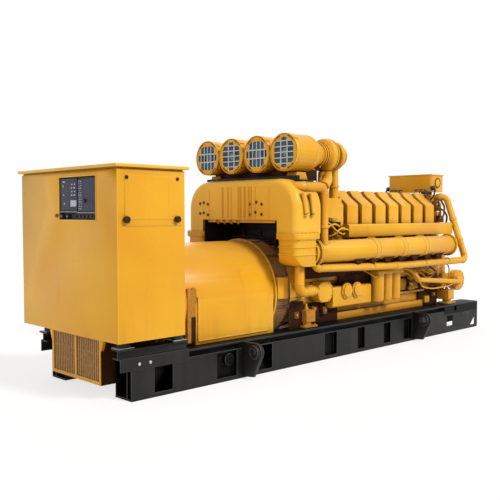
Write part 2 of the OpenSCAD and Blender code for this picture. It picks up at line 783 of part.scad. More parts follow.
// ---- charge air ----
// Arch across the set, with rounded shoulders and a leg down each side
module cooler_shape() {
    w = cooler_w / 2;
    intersection() {
        along_x(cooler_x0, cooler_x1) difference() {
            union() {
                translate([-w, leg_z0]) square([cooler_w, cooler_z1 - shoulder_r - leg_z0]);
                translate([-w + shoulder_r, leg_z0])
                    square([cooler_w - 2 * shoulder_r, cooler_z1 - leg_z0]);
                for (s = [-1, 1]) translate([s * (w - shoulder_r), cooler_z1 - shoulder_r])
                    circle(shoulder_r, $fn = fine);
            }
            translate([-w + leg_w, leg_z0 - 1]) square([cooler_w - 2 * leg_w, cooler_z0 - leg_z0 + 1]);
        }
        translate([cooler_x0, -w, leg_z0]) linear_extrude(cooler_z1 - leg_z0)
            round_rect(cooler_l, cooler_w, 110);
    }
}

module aftercooler() {
    face_rib = 12;
    rib_w = 16;
    half = cooler_w / 2 - leg_w - 60;
    color(yellow) union() {
        cooler_shape();
        // Belly under the arch, with gussets
        box([cooler_x0 + 30, -half - 20, belly_z], [cooler_x1 - 30, half + 20, cooler_z0 + 10]);
        for (i = [0:cooler_rib_n - 1]) {
            y = -half + 2 * half * i / (cooler_rib_n - 1);
            box([cooler_x0 - face_rib, y - rib_w / 2, cooler_z0 + 20],
                [cooler_x0 + 20, y + rib_w / 2, cooler_z1 - 40]);
            along_y(y - rib_w / 2, y + rib_w / 2) translate([cooler_x0, cooler_z0])
                polygon([[2, 2], [2, -12], [34, belly_z - cooler_z0 + 6], [34, 2]]);
        }
        for (z = [cooler_z0 + 12, cooler_z1 - 34])
            box([cooler_x0 - face_rib, -half - 30, z], [cooler_x0 + 20, half + 30, z + rib_w]);
        for (y = [-0.5, 1] * half, z = [cooler_z0 + 70, cooler_z0 + 190])
            rod_x(cooler_x0 - 20, cooler_x0 + 20, 24, y + 90, z);
    }
}

// Pipes from the compressors to the aftercooler and down to the plenums
module charge_air_pipes() {
    outer_y = abs(cleaner_y(1));
    inner_y = abs(cleaner_y(cleaner_n / 2));
    duct_x = turbo_x0 + 65;
    duct_z = cleaner_z - 120;
    inner_r = 46;
    color(yellow) both_sides() difference() {
        union() {
            pipe([[cooler_x0 + 140, tube_y - 160, charge_z], [cooler_x0 + 140, tube_y, charge_z],
                [charge_x, tube_y, charge_z], [charge_x, tube_y, plenum_z]], charge_r, 80);
            pipe([[duct_x, outer_y, duct_z], [duct_x - 8, outer_y, cleaner_z - 290],
                [charge_x + 5, tube_y - 20, charge_z]], 50, 60);
            rod_z(plenum_z + plenum_r + 150, plenum_z + plenum_r + 180, charge_r + 14, charge_x, tube_y);
            if (cleaner_n > 2) pipe([[duct_x, inner_y, duct_z], [duct_x, inner_y, cooler_z1 - 90],
                [cooler_x1 - 5, inner_y, cooler_z1 - 90]], inner_r, 70);
            for (x = [215, 370]) {
                straight([cooler_x0 + x, cooler_w / 2 - 30, charge_z - 100],
                    [cooler_x0 + x + 62, cooler_w / 2 + 22, charge_z - 272], 20);
                rod_z(charge_z - 290, charge_z - 268, 34, cooler_x0 + x + 62, cooler_w / 2 + 18);
            }
        }
        cooler_shape();
        rod_x(plenum_x0 - 1, plenum_x1, plenum_r, plenum_y, plenum_z);
        for (y = [outer_y, inner_y]) rod_x(turbo_x0 - 10, turbo_x0 + 145, compressor_r, y, cleaner_z);
    }
}

// ---- air cleaners ----
// Drum, open at the front, with a rolled band and a taper to the outlet
module air_cleaner(i) {
    wall = 8;
    color(yellow) translate([0, cleaner_y(i), cleaner_z]) difference() {
        union() {
            rod_x(cleaner_x0, cleaner_x1, cleaner_r);
            for (x = [52, 330]) rod_x(cleaner_x0 + x, cleaner_x0 + x + 14, cleaner_r + 3);
            translate([cleaner_x1, 0, 0]) rotate([0, 90, 0])
                cylinder(h = turbo_x0 - 60 - cleaner_x1, r1 = cleaner_r, r2 = cleaner_neck_r);
            rod_x(turbo_x0 - 61, turbo_x0, cleaner_neck_r);
            rod_x(turbo_x0 - 44, turbo_x0 - 24, cleaner_neck_r + 8);
        }
        rod_x(cleaner_x0 - 1, cleaner_x1 - 10, cleaner_r - wall);
    }
}

module air_cleaner_1() { air_cleaner(1); }
module air_cleaner_2() { air_cleaner(2); }
module air_cleaner_3() { air_cleaner(3); }
module air_cleaner_4() { air_cleaner(4); }

module filter_elements() {
    color(filter_blue) for (i = [1:cleaner_n])
        rod_x(cleaner_x0 + 30, cleaner_x1 - 10, cleaner_r - 30, cleaner_y(i), cleaner_z);
}

// Front guards: a rim with a square grid, shorter at the top and bottom
module cleaner_guards() {
    step = guard_hole + 13;
    r = cleaner_r - 8;
    color(yellow) for (i = [1:cleaner_n]) translate([cleaner_x0 + 4, cleaner_y(i), cleaner_z])
        rotate([90, 0, 90]) linear_extrude(8) difference() {
            circle(r, $fn = fine);
            for (row = [-2:3], col = [-2:3]) if ((row > -2 && row < 3) || (col > -1 && col < 2))
                translate([(col - 0.5) * step - guard_hole / 2, (row - 0.5) * step - guard_hole / 2])
                    square(guard_hole);
            for (a = [60, 120, 240, 300]) rotate(a) translate([r - 24, -24]) square([12, 48]);
        }
}

// Shelf across the aftercooler, with a foot under each air cleaner
module cleaner_tray() {
    x0 = cleaner_x0 + 115;
    x1 = cleaner_x1 - 10;
    half = cleaner_y(cleaner_n) + 304;
    color(black) union() {
        box([x0, -half, tray_z], [x1, half, tray_z + tray_t]);
        box([x0, -half, tray_z + tray_t], [x0 + 8, half, tray_z + tray_t + 22]);
        for (y = [-560, -300, 300, 560]) rod_z(cooler_z1, tray_z, 30, (x0 + x1) / 2, y);
        for (i = [1:cleaner_n]) difference() {
            box([x0 + 55, cleaner_y(i) - 75, tray_z + tray_t],
                [x1 - 55, cleaner_y(i) + 75, cleaner_z - cleaner_r + 40]);
            rod_x(x0, x1, cleaner_r, cleaner_y(i), cleaner_z);
        }
    }
}

// Turbocharger behind each air cleaner: inlet collar, compressor volute, bearing housing and
// turbine volute turned as one shape
module turbochargers() {
    neck_l = turbine_x0 - turbo_x0;
    color(yellow) for (i = [1:cleaner_n]) turned_x(turbo_x0, cleaner_y(i), cleaner_z) {
        square([cleaner_neck_r + 14, 24]);
        polygon(rounded([[0, 24], [150, 30], [compressor_r, 58], [compressor_r, 140], [150, 150], [0, 150]],
            [0, 10, 30, 36, 8, 0]));
        square([92, neck_l + 20]);
        for (k = [14, 34, 54]) translate([0, neck_l - k]) square([106, 7]);
        translate([0, neck_l]) polygon(rounded([[0, 0], [128, 0], [turbine_r, 20], [turbine_r, 87],
            [110, 107], [110, 120], [0, 120]], [0, 10, 26, 34, 8, 0, 0]));
    }
}

// Exhaust logs in the vee, the collector behind them, the risers to the turbines, and the outlet
module exhaust_manifold() {
    outer_y = abs(cleaner_y(1));
    inner_y = abs(cleaner_y(cleaner_n / 2));
    riser_x0 = turbine_x0 + 50;
    face = (deck_in + head_in) / 2;
    header_x = turbo_x1 + 42;
    color(yellow) difference() {
        union() {
            box([collector_x0, -outer_y - 60, collector_z0], [collector_x1, outer_y + 60, collector_z1]);
            box([collector_x0 + 20, -deck_in.x, deck_in.y + 10],
                [collector_x1 - 20, deck_in.x, collector_z0 + 5]);
            both_sides() {
                rod_x(collector_x1 - 40, last_cover_x + cover_l - 60, log_r, log_y, log_z);
                box([collector_x0 + 40, log_y - 60, log_z - 60],
                    [collector_x1, log_y + 60, collector_z0 + 5]);
                for (i = [0:cylinders - 1]) {
                    p = [cylinder_x(i), face.x, face.y];
                    straight(p, p + [0, -bank_out.x, -bank_out.y] * 95, 34);
                }
                for (y = [outer_y, inner_y]) {
                    rod_z(collector_z1 - 5, cleaner_z, 56, riser_x0, y);
                    rod_z(collector_z1 + 130, collector_z1 + 160, 70, riser_x0, y);
                    rod_x(turbo_x1 - 5, header_x, 70, y, cleaner_z);
                }
            }
            rod_y(-outer_y - 40, outer_y + 40, 48, header_x, cleaner_z);
            rod_x(header_x, stack_x - 60, 90, 0, cleaner_z);
            rod_z(cleaner_z - 122, stack_z, exhaust_bore_r + 10, stack_x, 0);
            rod_z(stack_z - 24, stack_z, exhaust_pcd / 2 + 38, stack_x, 0);
        }
        for (y = [-outer_y, -inner_y, inner_y, outer_y])
            rod_x(turbo_x0, turbo_x1, turbine_r, y, cleaner_z);
        rod_z(stack_z - 200, stack_z + 1, exhaust_bore_r, stack_x, 0);
        for (i = [0:exhaust_bolts - 1]) translate([stack_x, 0, stack_z - 25])
            rotate(i * 360 / exhaust_bolts) translate([exhaust_pcd / 2, 0, 0]) cylinder(h = 26, r = 9);
    }
}

// ---- engine front and pipes ----
module coolant_pipes() {
    pipe_z0 = shaft_z + 290;
    pipe_z1 = shaft_z + 236;
    joint_x = block_x0 + 1470;
    down_x = elbow_x0 + 215;
    down_z = shaft_z + 18;
    down_y = plenum_y - 6;
    low = [riser_x, coolant_y, pipe_z1];
    top = [riser_x, riser_top.x, riser_top.y];
    color(yellow) both_sides() {
        difference() {
            union() {
                pipe([[elbow_x1 + 110, coolant_y, plenum_z - 60], [elbow_x1 + 110, coolant_y, pipe_z0],
                    [joint_x, coolant_y, pipe_z1], low, top,
                    [riser_x - 105, thermostat_w - 40, riser_top.y - 25]], coolant_r, 85);
                rod_x(joint_x - 40, joint_x + 60, coolant_r + 9, coolant_y, pipe_z1);
                for (t = [0.3, 0.62])
                    straight(low + t * (top - low), low + (t + 0.05) * (top - low), coolant_r + 8);
            }
            rod_x(elbow_x1, plenum_x0 + 60, plenum_r + 30, plenum_y, plenum_z);
            box([block_x1, 0, thermostat_z0], [block_x1 + thermostat_l, thermostat_w, thermostat_z1]);
        }
        difference() {
            pipe([[down_x, down_y, elbow_z0], [down_x, down_y, down_z],
                [block_x0 - 75, down_y, down_z], [block_x0 - 75, neck_r - 30, down_z]], coolant_r + 8, 92);
            rod_x(flywheel_x0 + 40, block_x0, neck_r + 4, 0, shaft_z);
        }
    }
}

module thermostat_housing() {
    x1 = block_x1 + thermostat_l;
    flange_x = x1 + 60;
    color(yellow) difference() {
        union() {
            along_x(block_x1, x1) polygon(mirrored(rounded([[0, thermostat_z0], [thermostat_w, thermostat_z0],
                [thermostat_w, thermostat_z1], [0, thermostat_z1]], [0, 40, 40, 0])));
            for (y = [-300, 240])
                box([block_x1 + 90, y, thermostat_z1 - 5], [x1 - 10, y + 60, junction_z0]);
            rod_x(x1, flange_x, coolant_bore_r + 8, 0, outlet_z);
            rod_x(flange_x, flange_x + 20, coolant_pcd / 2 + 22, 0, outlet_z);
        }
        rod_x(x1 - 40, flange_x + 21, coolant_bore_r, 0, outlet_z);
        for (i = [0:coolant_bolts - 1]) translate([flange_x - 1, 0, outlet_z])
            rotate([i * 360 / coolant_bolts, 0, 0]) translate([0, 0, coolant_pcd / 2])
                rotate([0, 90, 0]) cylinder(h = 22, r = 7);
    }
}

// Wiring box above the engine front, with a lid and a round plate at each end
module junction_box() {
    x0 = block_x1 - 15;
    l = 350;
    w = 370;
    z1 = junction_z0 + 250;
    color(yellow) {
        box([x0, -w, junction_z0], [x0 + l, w, z1]);
        box([x0 - 12, -w - 12, z1], [x0 + l + 12, w + 12, z1 + 16]);
        both_sides() {
            rod_y(w, w + 9, 84, x0 + 190, junction_z0 + 140);
            rod_y(w + 9, w + 13, 66, x0 + 190, junction_z0 + 140);
        }
    }
}

module front_housing() {
    x1 = block_x1 + front_l;
    color(yellow) union() {
        along_x(block_x1, x1) polygon(mirrored(rounded([[0, shaft_z - 280], [pan_lip - 60, shaft_z - 280],
            [pan_lip, shaft_z - 200], [pan_lip, shaft_z + 320], [thermostat_w, shaft_z + 560],
            [thermostat_w, thermostat_z0], [0, thermostat_z0]], [0, 30, 40, 60, 60, 0, 0])));
        along_x(x1 - 5, x1 + 28) polygon(mirrored(rounded([[0, shaft_z - 240], [360, shaft_z - 240],
            [420, shaft_z - 60], [420, shaft_z + 300], [300, shaft_z + 480], [0, shaft_z + 480]],
            [0, 60, 60, 60, 60, 0])));
        both_sides() {
            box([block_x1 + 60, pan_lip - 70, shaft_z - 260], [x1 - 20, pan_lip + 20, shaft_z - 230]);
            machine_foot(block_x1 + 60, block_x1 + 220, pan_lip - 60);
        }
    }
}

module crankshaft_damper() {
    x0 = block_x1 + front_l + 28;
    color(yellow) turned_x(x0, 0, shaft_z) {
        square([90, 20]);
        polygon(rounded([[0, 12], [300, 12], [320, 32], [320, 72], [0, 72]], [0, 0, 0, 12, 0]));
        polygon(rounded([[0, 60], [296, 60], [296, 150], [230, 162], [0, 162]], [0, 0, 12, 0, 0]));
        square([120, 176]);
    }
}

// Water pump on each side of the engine front, with its suction pipe along the block
module water_pumps() {
    y0 = pan_lip;
    y1 = y0 + 140;
    color(yellow) both_sides() {
        rod_y(y0 + 20, y1, pump_r, pump_x, pump_z);
        rod_y(y1, y1 + 10, pump_r - 50, pump_x, pump_z);
        box([block_x1 + 60, y0, pump_z - 80], [pump_x, y0 + 40, pump_z + 110]);
        pipe([[block_x1 - 989, hip_y, hip_z1 - 75], [block_x1 - 989, 700, hip_z1 - 75],
            [block_x1 - 835, 700, shaft_z - 12], [pump_x - 60, 700, pump_z - 20],
            [pump_x - 60, y1 - 5, pump_z - 20]], 38, 60);
    }
}

// Filters hanging from their head, and the oil cooler with two round covers, on the right side
module oil_filters() {
    x0 = block_x0 + 1337;
    head_z = shaft_z + 129;
    x1 = x0 + oil_filters_n * filter_step;
    cooler_a = block_x0 + 416;
    cooler_b = block_x0 + 1206;
    color(yellow) mirror([0, 1, 0]) {
        for (i = [0:oil_filters_n - 1]) {
            rod_z(shaft_z - 225, head_z, oil_filter_r, x0 + i * filter_step, 640);
            rod_z(shaft_z - 240, shaft_z - 225, oil_filter_r - 14, x0 + i * filter_step, 640);
        }
        translate([x0 - 110, hip_y, head_z]) linear_extrude(46) round_rect(x1 - x0 + 20, 225, 20);
        along_x(cooler_a, cooler_b) polygon(rounded([[side_y, pan_top + 10], [pan_lip + 6, pan_top + 10],
            [pan_lip + 6, pan_top - 66], [640, pan_top - 66], [640, shaft_z + 8], [side_y, shaft_z + 8]],
            [0, 0, 10, 30, 30, 0]));
        for (x = [258, 465]) {
            rod_y(640, 664, 100, cooler_a + x, shaft_z - 50);
            rod_y(664, 684, 78, cooler_a + x, shaft_z - 50);
        }
    }
}

right_rail();
left_rail();
cross_beams();
lifting_lugs();
cabinet_supports();
cabinet();
cabinet_roof();
cabinet_side_covers();
control_panel();
air_inlet_box();
inlet_screens();
alternator_barrel();
alternator_side_plates();
alternator_end_ring();
outlet_screen();
flywheel_housing();
terminal_box();
crankcase();
oil_pan();
cylinder_heads();
right_valve_covers();
left_valve_covers();
water_manifolds();
right_intake_plenum();
left_intake_plenum();
right_intake_elbow();
left_intake_elbow();
aftercooler();
charge_air_pipes();
air_cleaner_1();
air_cleaner_2();
air_cleaner_3();
air_cleaner_4();
filter_elements();
cleaner_guards();
cleaner_tray();
turbochargers();
exhaust_manifold();
coolant_pipes();
thermostat_housing();
junction_box();
front_housing();
crankshaft_damper();
water_pumps();
oil_filters();
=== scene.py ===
import math

import bpy
import bmesh
from mathutils import Matrix, Vector


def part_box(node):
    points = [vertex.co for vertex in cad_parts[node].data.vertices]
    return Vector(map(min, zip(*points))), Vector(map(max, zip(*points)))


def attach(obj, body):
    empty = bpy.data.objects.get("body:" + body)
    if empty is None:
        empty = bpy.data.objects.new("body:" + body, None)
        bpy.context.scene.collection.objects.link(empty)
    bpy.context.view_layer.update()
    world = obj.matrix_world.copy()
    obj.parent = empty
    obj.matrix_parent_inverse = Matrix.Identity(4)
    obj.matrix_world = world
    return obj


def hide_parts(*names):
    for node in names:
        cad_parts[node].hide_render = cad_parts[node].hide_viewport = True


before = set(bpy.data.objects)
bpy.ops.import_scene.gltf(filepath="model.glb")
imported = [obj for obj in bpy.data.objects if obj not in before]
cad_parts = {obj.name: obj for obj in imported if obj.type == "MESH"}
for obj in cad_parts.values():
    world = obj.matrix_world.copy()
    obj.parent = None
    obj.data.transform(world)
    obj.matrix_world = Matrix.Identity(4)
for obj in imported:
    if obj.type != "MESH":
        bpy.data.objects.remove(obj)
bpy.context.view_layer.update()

scene = bpy.context.scene
up = Vector((0, 0, 1))
print("frame loaded")


# shader helpers
def screenColour(red, green, blue):
    # 0 to 255 screen values to the linear colour that a shader wants
    parts = [c / 255 for c in (red, green, blue)]
    return tuple(c / 12.92 if c <= 0.04045 else ((c + 0.055) / 1.055) ** 2.4 for c in parts) + (1.0,)


def addNode(tree, kind, inputs=None, **settings):
    made = tree.nodes.new("ShaderNode" + kind)
    for name, value in settings.items():
        setattr(made, name, value)
    for name, value in (inputs or {}).items():
        if hasattr(value, "is_output"):
            tree.links.new(value, made.inputs[name])
        else:
            made.inputs[name].default_value = value
    return made


def remap(tree, value, low, high, outLow=0.0, outHigh=1.0):
    return addNode(tree, "MapRange", {"Value": value, "From Min": low, "From Max": high,
                                      "To Min": outLow, "To Max": outHigh}).outputs["Result"]


def multiply(tree, first, second):
    made = addNode(tree, "Math", operation="MULTIPLY")
    for slotIndex, value in enumerate((first, second)):
        if hasattr(value, "is_output"):
            tree.links.new(value, made.inputs[slotIndex])
        else:
            made.inputs[slotIndex].default_value = value
    return made.outputs[0]


def overlay(tree, amount, under, over):
    # over covers under where amount is high
    made = addNode(tree, "MixRGB", {"Fac": amount, "Color1": under, "Color2": over})
    return made.outputs["Color"]


def startMaterial(name, **surface):
    material = bpy.data.materials.new(name)
    material.use_nodes = True
    shader = material.node_tree.nodes["Principled BSDF"]
    for socket, value in surface.items():
        shader.inputs[socket.replace("_", " ")].default_value = value
    return material, material.node_tree, shader


def noise(tree, where, scale, detail=3.0, rough=0.5):
    return addNode(tree, "TexNoise", {"Vector": where, "Scale": scale, "Detail": detail,
                                      "Roughness": rough}).outputs["Fac"]


# paint
yellowLook = {"colour": (240, 178, 34), "shade": (228, 158, 24), "fine": (206, 138, 26),
              "hollowShade": (96, 50, 12), "dust": (236, 196, 110), "grime": (150, 98, 34),
              "roughness": (0.26, 0.44), "specular": 0.32, "grain": 0.05, "grainScale": 300, "wave": 0.12,
              "reach": 0.16, "hollowShadeAmount": 0.85}        # screen colours, bump strengths, metres of shade
castLook = dict(yellowLook, colour=(241, 179, 36), shade=(229, 160, 25), grain=0.28, grainScale=110, wave=0.03,
                roughness=(0.3, 0.5), reach=0.2, hollowShadeAmount=0.95)
# painted light: a lighter copy of the cast paint, with weaker painted shade, that paints more light on the
# aftercooler
brightenedCoolerLook = dict(castLook, colour=(250, 192, 60), shade=(242, 178, 44), fine=(220, 156, 46), reach=0.1,
                  hollowShadeAmount=0.6)
# lighter worn paint, which also paints highlights on bevelled edges and on small bright parts
wearAndHighlightLook = dict(yellowLook, colour=(246, 194, 72), shade=(236, 176, 50), fine=(200, 150, 66), grain=0.1)
blackLook = {"colour": (21, 21, 20), "shade": (15, 15, 15), "fine": (33, 32, 29), "hollowShade": (4, 4, 4),
             "dust": (62, 61, 56), "grime": (46, 42, 36), "roughness": (0.44, 0.66), "specular": 0.3,
             "grain": 0.1, "grainScale": 220, "wave": 0.05, "reach": 0.22, "hollowShadeAmount": 0.95}
# painted shade: a darker black for the rails' recessed faces
recessShadeLook = dict(blackLook, colour=(11, 11, 11), shade=(8, 8, 8), fine=(19, 19, 18), dust=(30, 29, 27),
                  grime=(20, 18, 15), specular=0.12)
blackWearAndHighlightLook = dict(blackLook, colour=(74, 75, 74), shade=(56, 57, 56), fine=(96, 94, 90),
                     roughness=(0.3, 0.45))


def paint(name, look):
    # broad tones, fine specks, streaks, dust on top, splashes near the ground, and painted shade that darkens
    # hollows and corners
    material, tree, shader = startMaterial(name, Specular_IOR_Level=look["specular"])
    where = addNode(tree, "TexCoord").outputs["Object"]
    broad = noise(tree, where, 0.9, 2.0)
    fine = noise(tree, where, 31.0, 6.0, 0.62)
    stretched = addNode(tree, "Mapping", {"Vector": where, "Scale": (10, 10, 0.75)}).outputs["Vector"]
    streaks = noise(tree, stretched, 1.0, 4.0, 0.6)
    normal = addNode(tree, "NewGeometry").outputs["Normal"]
    facing = addNode(tree, "SeparateXYZ", {"Vector": normal}).outputs["Z"]
    height = addNode(tree, "SeparateXYZ", {"Vector": where}).outputs["Z"]
    colour = overlay(tree, remap(tree, broad, 0.36, 0.64), screenColour(*look["colour"]),
                     screenColour(*look["shade"]))
    colour = overlay(tree, remap(tree, fine, 0.56, 0.8, 0, 0.3), colour, screenColour(*look["fine"]))
    colour = overlay(tree, remap(tree, streaks, 0.6, 0.85, 0, 0.22), colour, screenColour(*look["grime"]))
    dust = multiply(tree, remap(tree, facing, 0.4, 1.0, 0, 0.34), remap(tree, fine, 0.3, 0.7, 0.35, 1))
    colour = overlay(tree, dust, colour, screenColour(*look["dust"]))
    splash = multiply(tree, remap(tree, height, 0.75, 0.02, 0, 0.32), remap(tree, streaks, 0.35, 0.65))
    colour = overlay(tree, splash, colour, screenColour(*look["grime"]))
    # painted shade: ambient occlusion darkens the colour in hollows, creases and between parts
    shadeOcclusion = addNode(tree, "AmbientOcclusion", {"Distance": look["reach"]}, samples=6).outputs["AO"]
    dark = remap(tree, shadeOcclusion, 0.85, 0.12, 0, look["hollowShadeAmount"])
    colour = overlay(tree, dark, colour, screenColour(*look["hollowShade"]))
    tree.links.new(colour, shader.inputs["Base Color"])
    tree.links.new(remap(tree, fine, 0.3, 0.75, *look["roughness"]), shader.inputs["Roughness"])
    wave = addNode(tree, "Bump", {"Height": noise(tree, where, 2.4, 1.0), "Strength": look["wave"],
                                  "Distance": 0.02}).outputs["Normal"]
    grain = addNode(tree, "Bump", {"Height": noise(tree, where, look["grainScale"], 3.0),
                                   "Strength": look["grain"], "Distance": 0.0015, "Normal": wave})
    tree.links.new(grain.outputs["Normal"], shader.inputs["Normal"])
    return material


def plainFinish(name, colour, worn, roughness, metallic=0.0, scale=60, grain=0.15, specular=0.5, reach=0.0):
    # one material colour with worn flecks, for rubber, plastic, steel and the like
    material, tree, shader = startMaterial(name, Metallic=metallic, Specular_IOR_Level=specular)
    where = addNode(tree, "TexCoord").outputs["Object"]
    fleck = noise(tree, where, scale, 5.0, 0.6)
    made = overlay(tree, remap(tree, fleck, 0.45, 0.75, 0, 0.7), screenColour(*colour), screenColour(*worn))
    # painted shade: with a reach, ambient occlusion darkens the colour in hollows
    if reach:
        shadeOcclusion = addNode(tree, "AmbientOcclusion", {"Distance": reach}, samples=6).outputs["AO"]
        made = overlay(tree, remap(tree, shadeOcclusion, 0.8, 0.1, 0, 0.8), made, screenColour(6, 6, 7))
    tree.links.new(made, shader.inputs["Base Color"])
    tree.links.new(remap(tree, fleck, 0.3, 0.7, roughness, roughness + 0.16), shader.inputs["Roughness"])
    bump = addNode(tree, "Bump", {"Height": noise(tree, where, scale * 3, 2.0), "Strength": grain,
                                  "Distance": 0.001})
    tree.links.new(bump.outputs["Normal"], shader.inputs["Normal"])
    return material


finishes = {
    "sheetYellow": paint("sheetYellow", yellowLook),
    "castYellow": paint("castYellow", castLook),
    "brightenedCoolerYellow": paint("brightenedCoolerYellow", brightenedCoolerLook),
    "wearAndHighlightYellow": paint("wearAndHighlightYellow", wearAndHighlightLook),
    "skidBlack": paint("skidBlack", blackLook),
    "wearAndHighlightBlack": paint("wearAndHighlightBlack", blackWearAndHighlightLook),
    # the screen, filter and dark brown finishes below have a reach, so their hollows get painted shade
    "meshBrown": plainFinish("meshBrown", (112, 78, 40), (70, 46, 24), 0.6, scale=45, reach=0.05),
    "wireBrown": plainFinish("wireBrown", (186, 138, 74), (120, 84, 44), 0.5, scale=30),
    "panelNavy": plainFinish("panelNavy", (44, 47, 66), (35, 37, 53), 0.5, scale=25, grain=0.05),
    "panelDark": plainFinish("panelDark", (26, 28, 38), (34, 36, 46), 0.5, scale=25, grain=0.05),
    "panelPale": plainFinish("panelPale", (188, 194, 202), (150, 156, 166), 0.35, scale=90, grain=0.03),
    "panelTrim": plainFinish("panelTrim", (150, 146, 122), (120, 116, 98), 0.45, scale=60),
    "rubber": plainFinish("rubber", (24, 23, 24), (44, 42, 41), 0.66, scale=70, grain=0.3),
    "knobBrown": plainFinish("knobBrown", (46, 22, 10), (28, 13, 6), 0.42, scale=90, specular=0.22),
    "stopOrange": plainFinish("stopOrange", (158, 74, 34), (120, 50, 24), 0.35, scale=90),
    "zincSteel": plainFinish("zincSteel", (196, 202, 210), (140, 140, 138), 0.34, metallic=0.9, scale=80),
    "filterBlue": plainFinish("filterBlue", (104, 148, 188), (70, 112, 154), 0.75, scale=130, grain=0.4,
                              reach=0.02),
    "guardPale": plainFinish("guardPale", (204, 204, 190), (176, 170, 142), 0.42, scale=110, grain=0.1),
    # painted shade: a dark brown for sheets and faces that stand where there is only shade
    "deepShadeBrown": plainFinish("deepShadeBrown", (62, 33, 14), (36, 19, 9), 0.7, scale=26, grain=0.3, specular=0.12,
                             reach=0.12),
    # painted shade: a shaded copy of the yellow paint, as tan
    "shadedTan": plainFinish("shadedTan", (190, 128, 42), (152, 94, 28), 0.5, scale=30, specular=0.2),
    "recessShadeBlack": paint("recessShadeBlack", recessShadeLook),
    # painted shade: a dull brown for small parts of the yellow engine that sit in shade
    "dullShadeBrown": plainFinish("dullShadeBrown", (120, 80, 34), (74, 44, 18), 0.6, scale=30, grain=0.3, specular=0.2,
                             reach=0.06),
}
print("finishes made")


# mesh helpers
def roundEdges(bm, edges, width, segments=2):
    bmesh.ops.bevel(bm, geom=edges, offset=width, offset_type="OFFSET", segments=segments, profile=0.5,
                    affect="EDGES", material=-1, clamp_overlap=True)


def addBox(bm, low, high, edge=0.0):
    low, high = Vector(low), Vector(high)
    place = Matrix.Translation((low + high) / 2) @ Matrix.Diagonal((*(high - low), 1))
    made = bmesh.ops.create_cube(bm, size=1, matrix=place)["verts"]
    if edge:
        roundEdges(bm, list({e for v in made for e in v.link_edges}), edge)


def addBlock(bm, centre, half, edge=0.0):
    # a box from its middle and its half sizes
    centre, half = Vector(centre), Vector(half)
    addBox(bm, centre - half, centre + half, edge)


def sideBox(bm, side, x, y, z, edge=0.0):
    # a box from its spans, on the left (side 1) or the right (side -1) of the set
    near, far = sorted((side * y[0], side * y[1]))
    addBox(bm, (x[0], near, z[0]), (x[1], far, z[1]), edge)


def placedPlate(bm, place, x, y, z):
    # a plate from its spans, moved by a matrix
    middle = Matrix.Translation([sum(span) / 2 for span in (x, y, z)])
    sizes = Matrix.Diagonal([abs(span[1] - span[0]) for span in (x, y, z)] + [1])
    bmesh.ops.create_cube(bm, size=1, matrix=place @ middle @ sizes)


def addPrism(bm, near, far):
    # a solid between two outlines that have the same number of points
    loops = [[bm.verts.new(place) for place in outline] for outline in (near, far)]
    for loop in loops:
        bm.faces.new(loop)
    for i in range(len(near)):
        j = (i + 1) % len(near)
        bm.faces.new((loops[0][i], loops[0][j], loops[1][j], loops[1][i]))
    return loops


def along(start, direction):
    return Matrix.Translation(start) @ up.rotation_difference(Vector(direction)).to_matrix().to_4x4()


def addRod(bm, start, end, radius, endRadius=None, sides=24, edge=0.0):
    start, end = Vector(start), Vector(end)
    place = along((start + end) / 2, end - start)
    made = bmesh.ops.create_cone(bm, cap_ends=True, segments=sides, radius1=radius,
                                 radius2=radius if endRadius is None else endRadius,
                                 depth=(end - start).length, matrix=place)["verts"]
    if edge:
        edges = {e for v in made for e in v.link_edges}
        roundEdges(bm, [e for e in edges if any(len(f.verts) > 4 for f in e.link_faces)], edge)
    return made


def addBolt(bm, place, facing, size):
    # washer and chamfered six-sided head
    place, facing = Vector(place), Vector(facing).normalized()
    addRod(bm, place - facing * size * 0.3, place + facing * size * 0.18, size * 1.25, sides=12)
    addRod(bm, place + facing * size * 0.18, place + facing * size * 0.62, size, sides=6)
    addRod(bm, place + facing * size * 0.62, place + facing * size * 0.8, size, size * 0.8, sides=6)


def addHoop(bm, centre, axis, radius, thick, width, sides=64):
    # closed band round an axis, spun from its rectangle
    centre, axis = Vector(centre), Vector(axis).normalized()
    side = axis.orthogonal().normalized()
    corners = [(-width / 2, 0), (width / 2, 0), (width / 2, thick), (-width / 2, thick)]
    verts = [bm.verts.new(centre + axis * a + side * (radius + r)) for a, r in corners]
    edges = [bm.edges.new((verts[i], verts[(i + 1) % 4])) for i in range(4)]
    bmesh.ops.spin(bm, geom=verts + edges, cent=centre, axis=axis, angle=math.tau, steps=sides,
                   use_merge=True)


def softCorners(points, bend, steps=5):
    # a path with each corner turned into a short arc
    points = [Vector(p) for p in points]
    path = [points[0]]
    for before, corner, after in zip(points, points[1:], points[2:]):
        back, on = (before - corner), (after - corner)
        reach = min(bend, back.length * 0.45, on.length * 0.45)
        start, end = corner + back.normalized() * reach, corner + on.normalized() * reach
        for i in range(steps + 1):
            t = i / steps
            path.append(start.lerp(corner, t).lerp(corner.lerp(end, t), t))
    return path + [points[-1]]


def addTube(bm, points, radius, bend=0.05, smoothness=2):
    curve = bpy.data.curves.new("tubeLine", "CURVE")
    curve.dimensions = "3D"
    curve.bevel_depth, curve.bevel_resolution, curve.use_fill_caps = radius, smoothness, True
    path = softCorners(points, bend)
    spline = curve.splines.new("POLY")
    spline.points.add(len(path) - 1)
    for knot, place in zip(spline.points, path):
        knot.co = (*place, 1)
    holder = bpy.data.objects.new("tubeLine", curve)
    scene.collection.objects.link(holder)
    mesh = bpy.data.meshes.new_from_object(holder)
    bm.from_mesh(mesh)
    bpy.data.objects.remove(holder)
    bpy.data.curves.remove(curve)
    bpy.data.meshes.remove(mesh)


def onSide(points, side):
    # the same places on the left (side 1) or the right (side -1) of the set
    return [(x, side * y, z) for x, y, z in points]


def bothSides(points):
    return [place for point in points for side in (-1, 1) for place in onSide([point], side)]


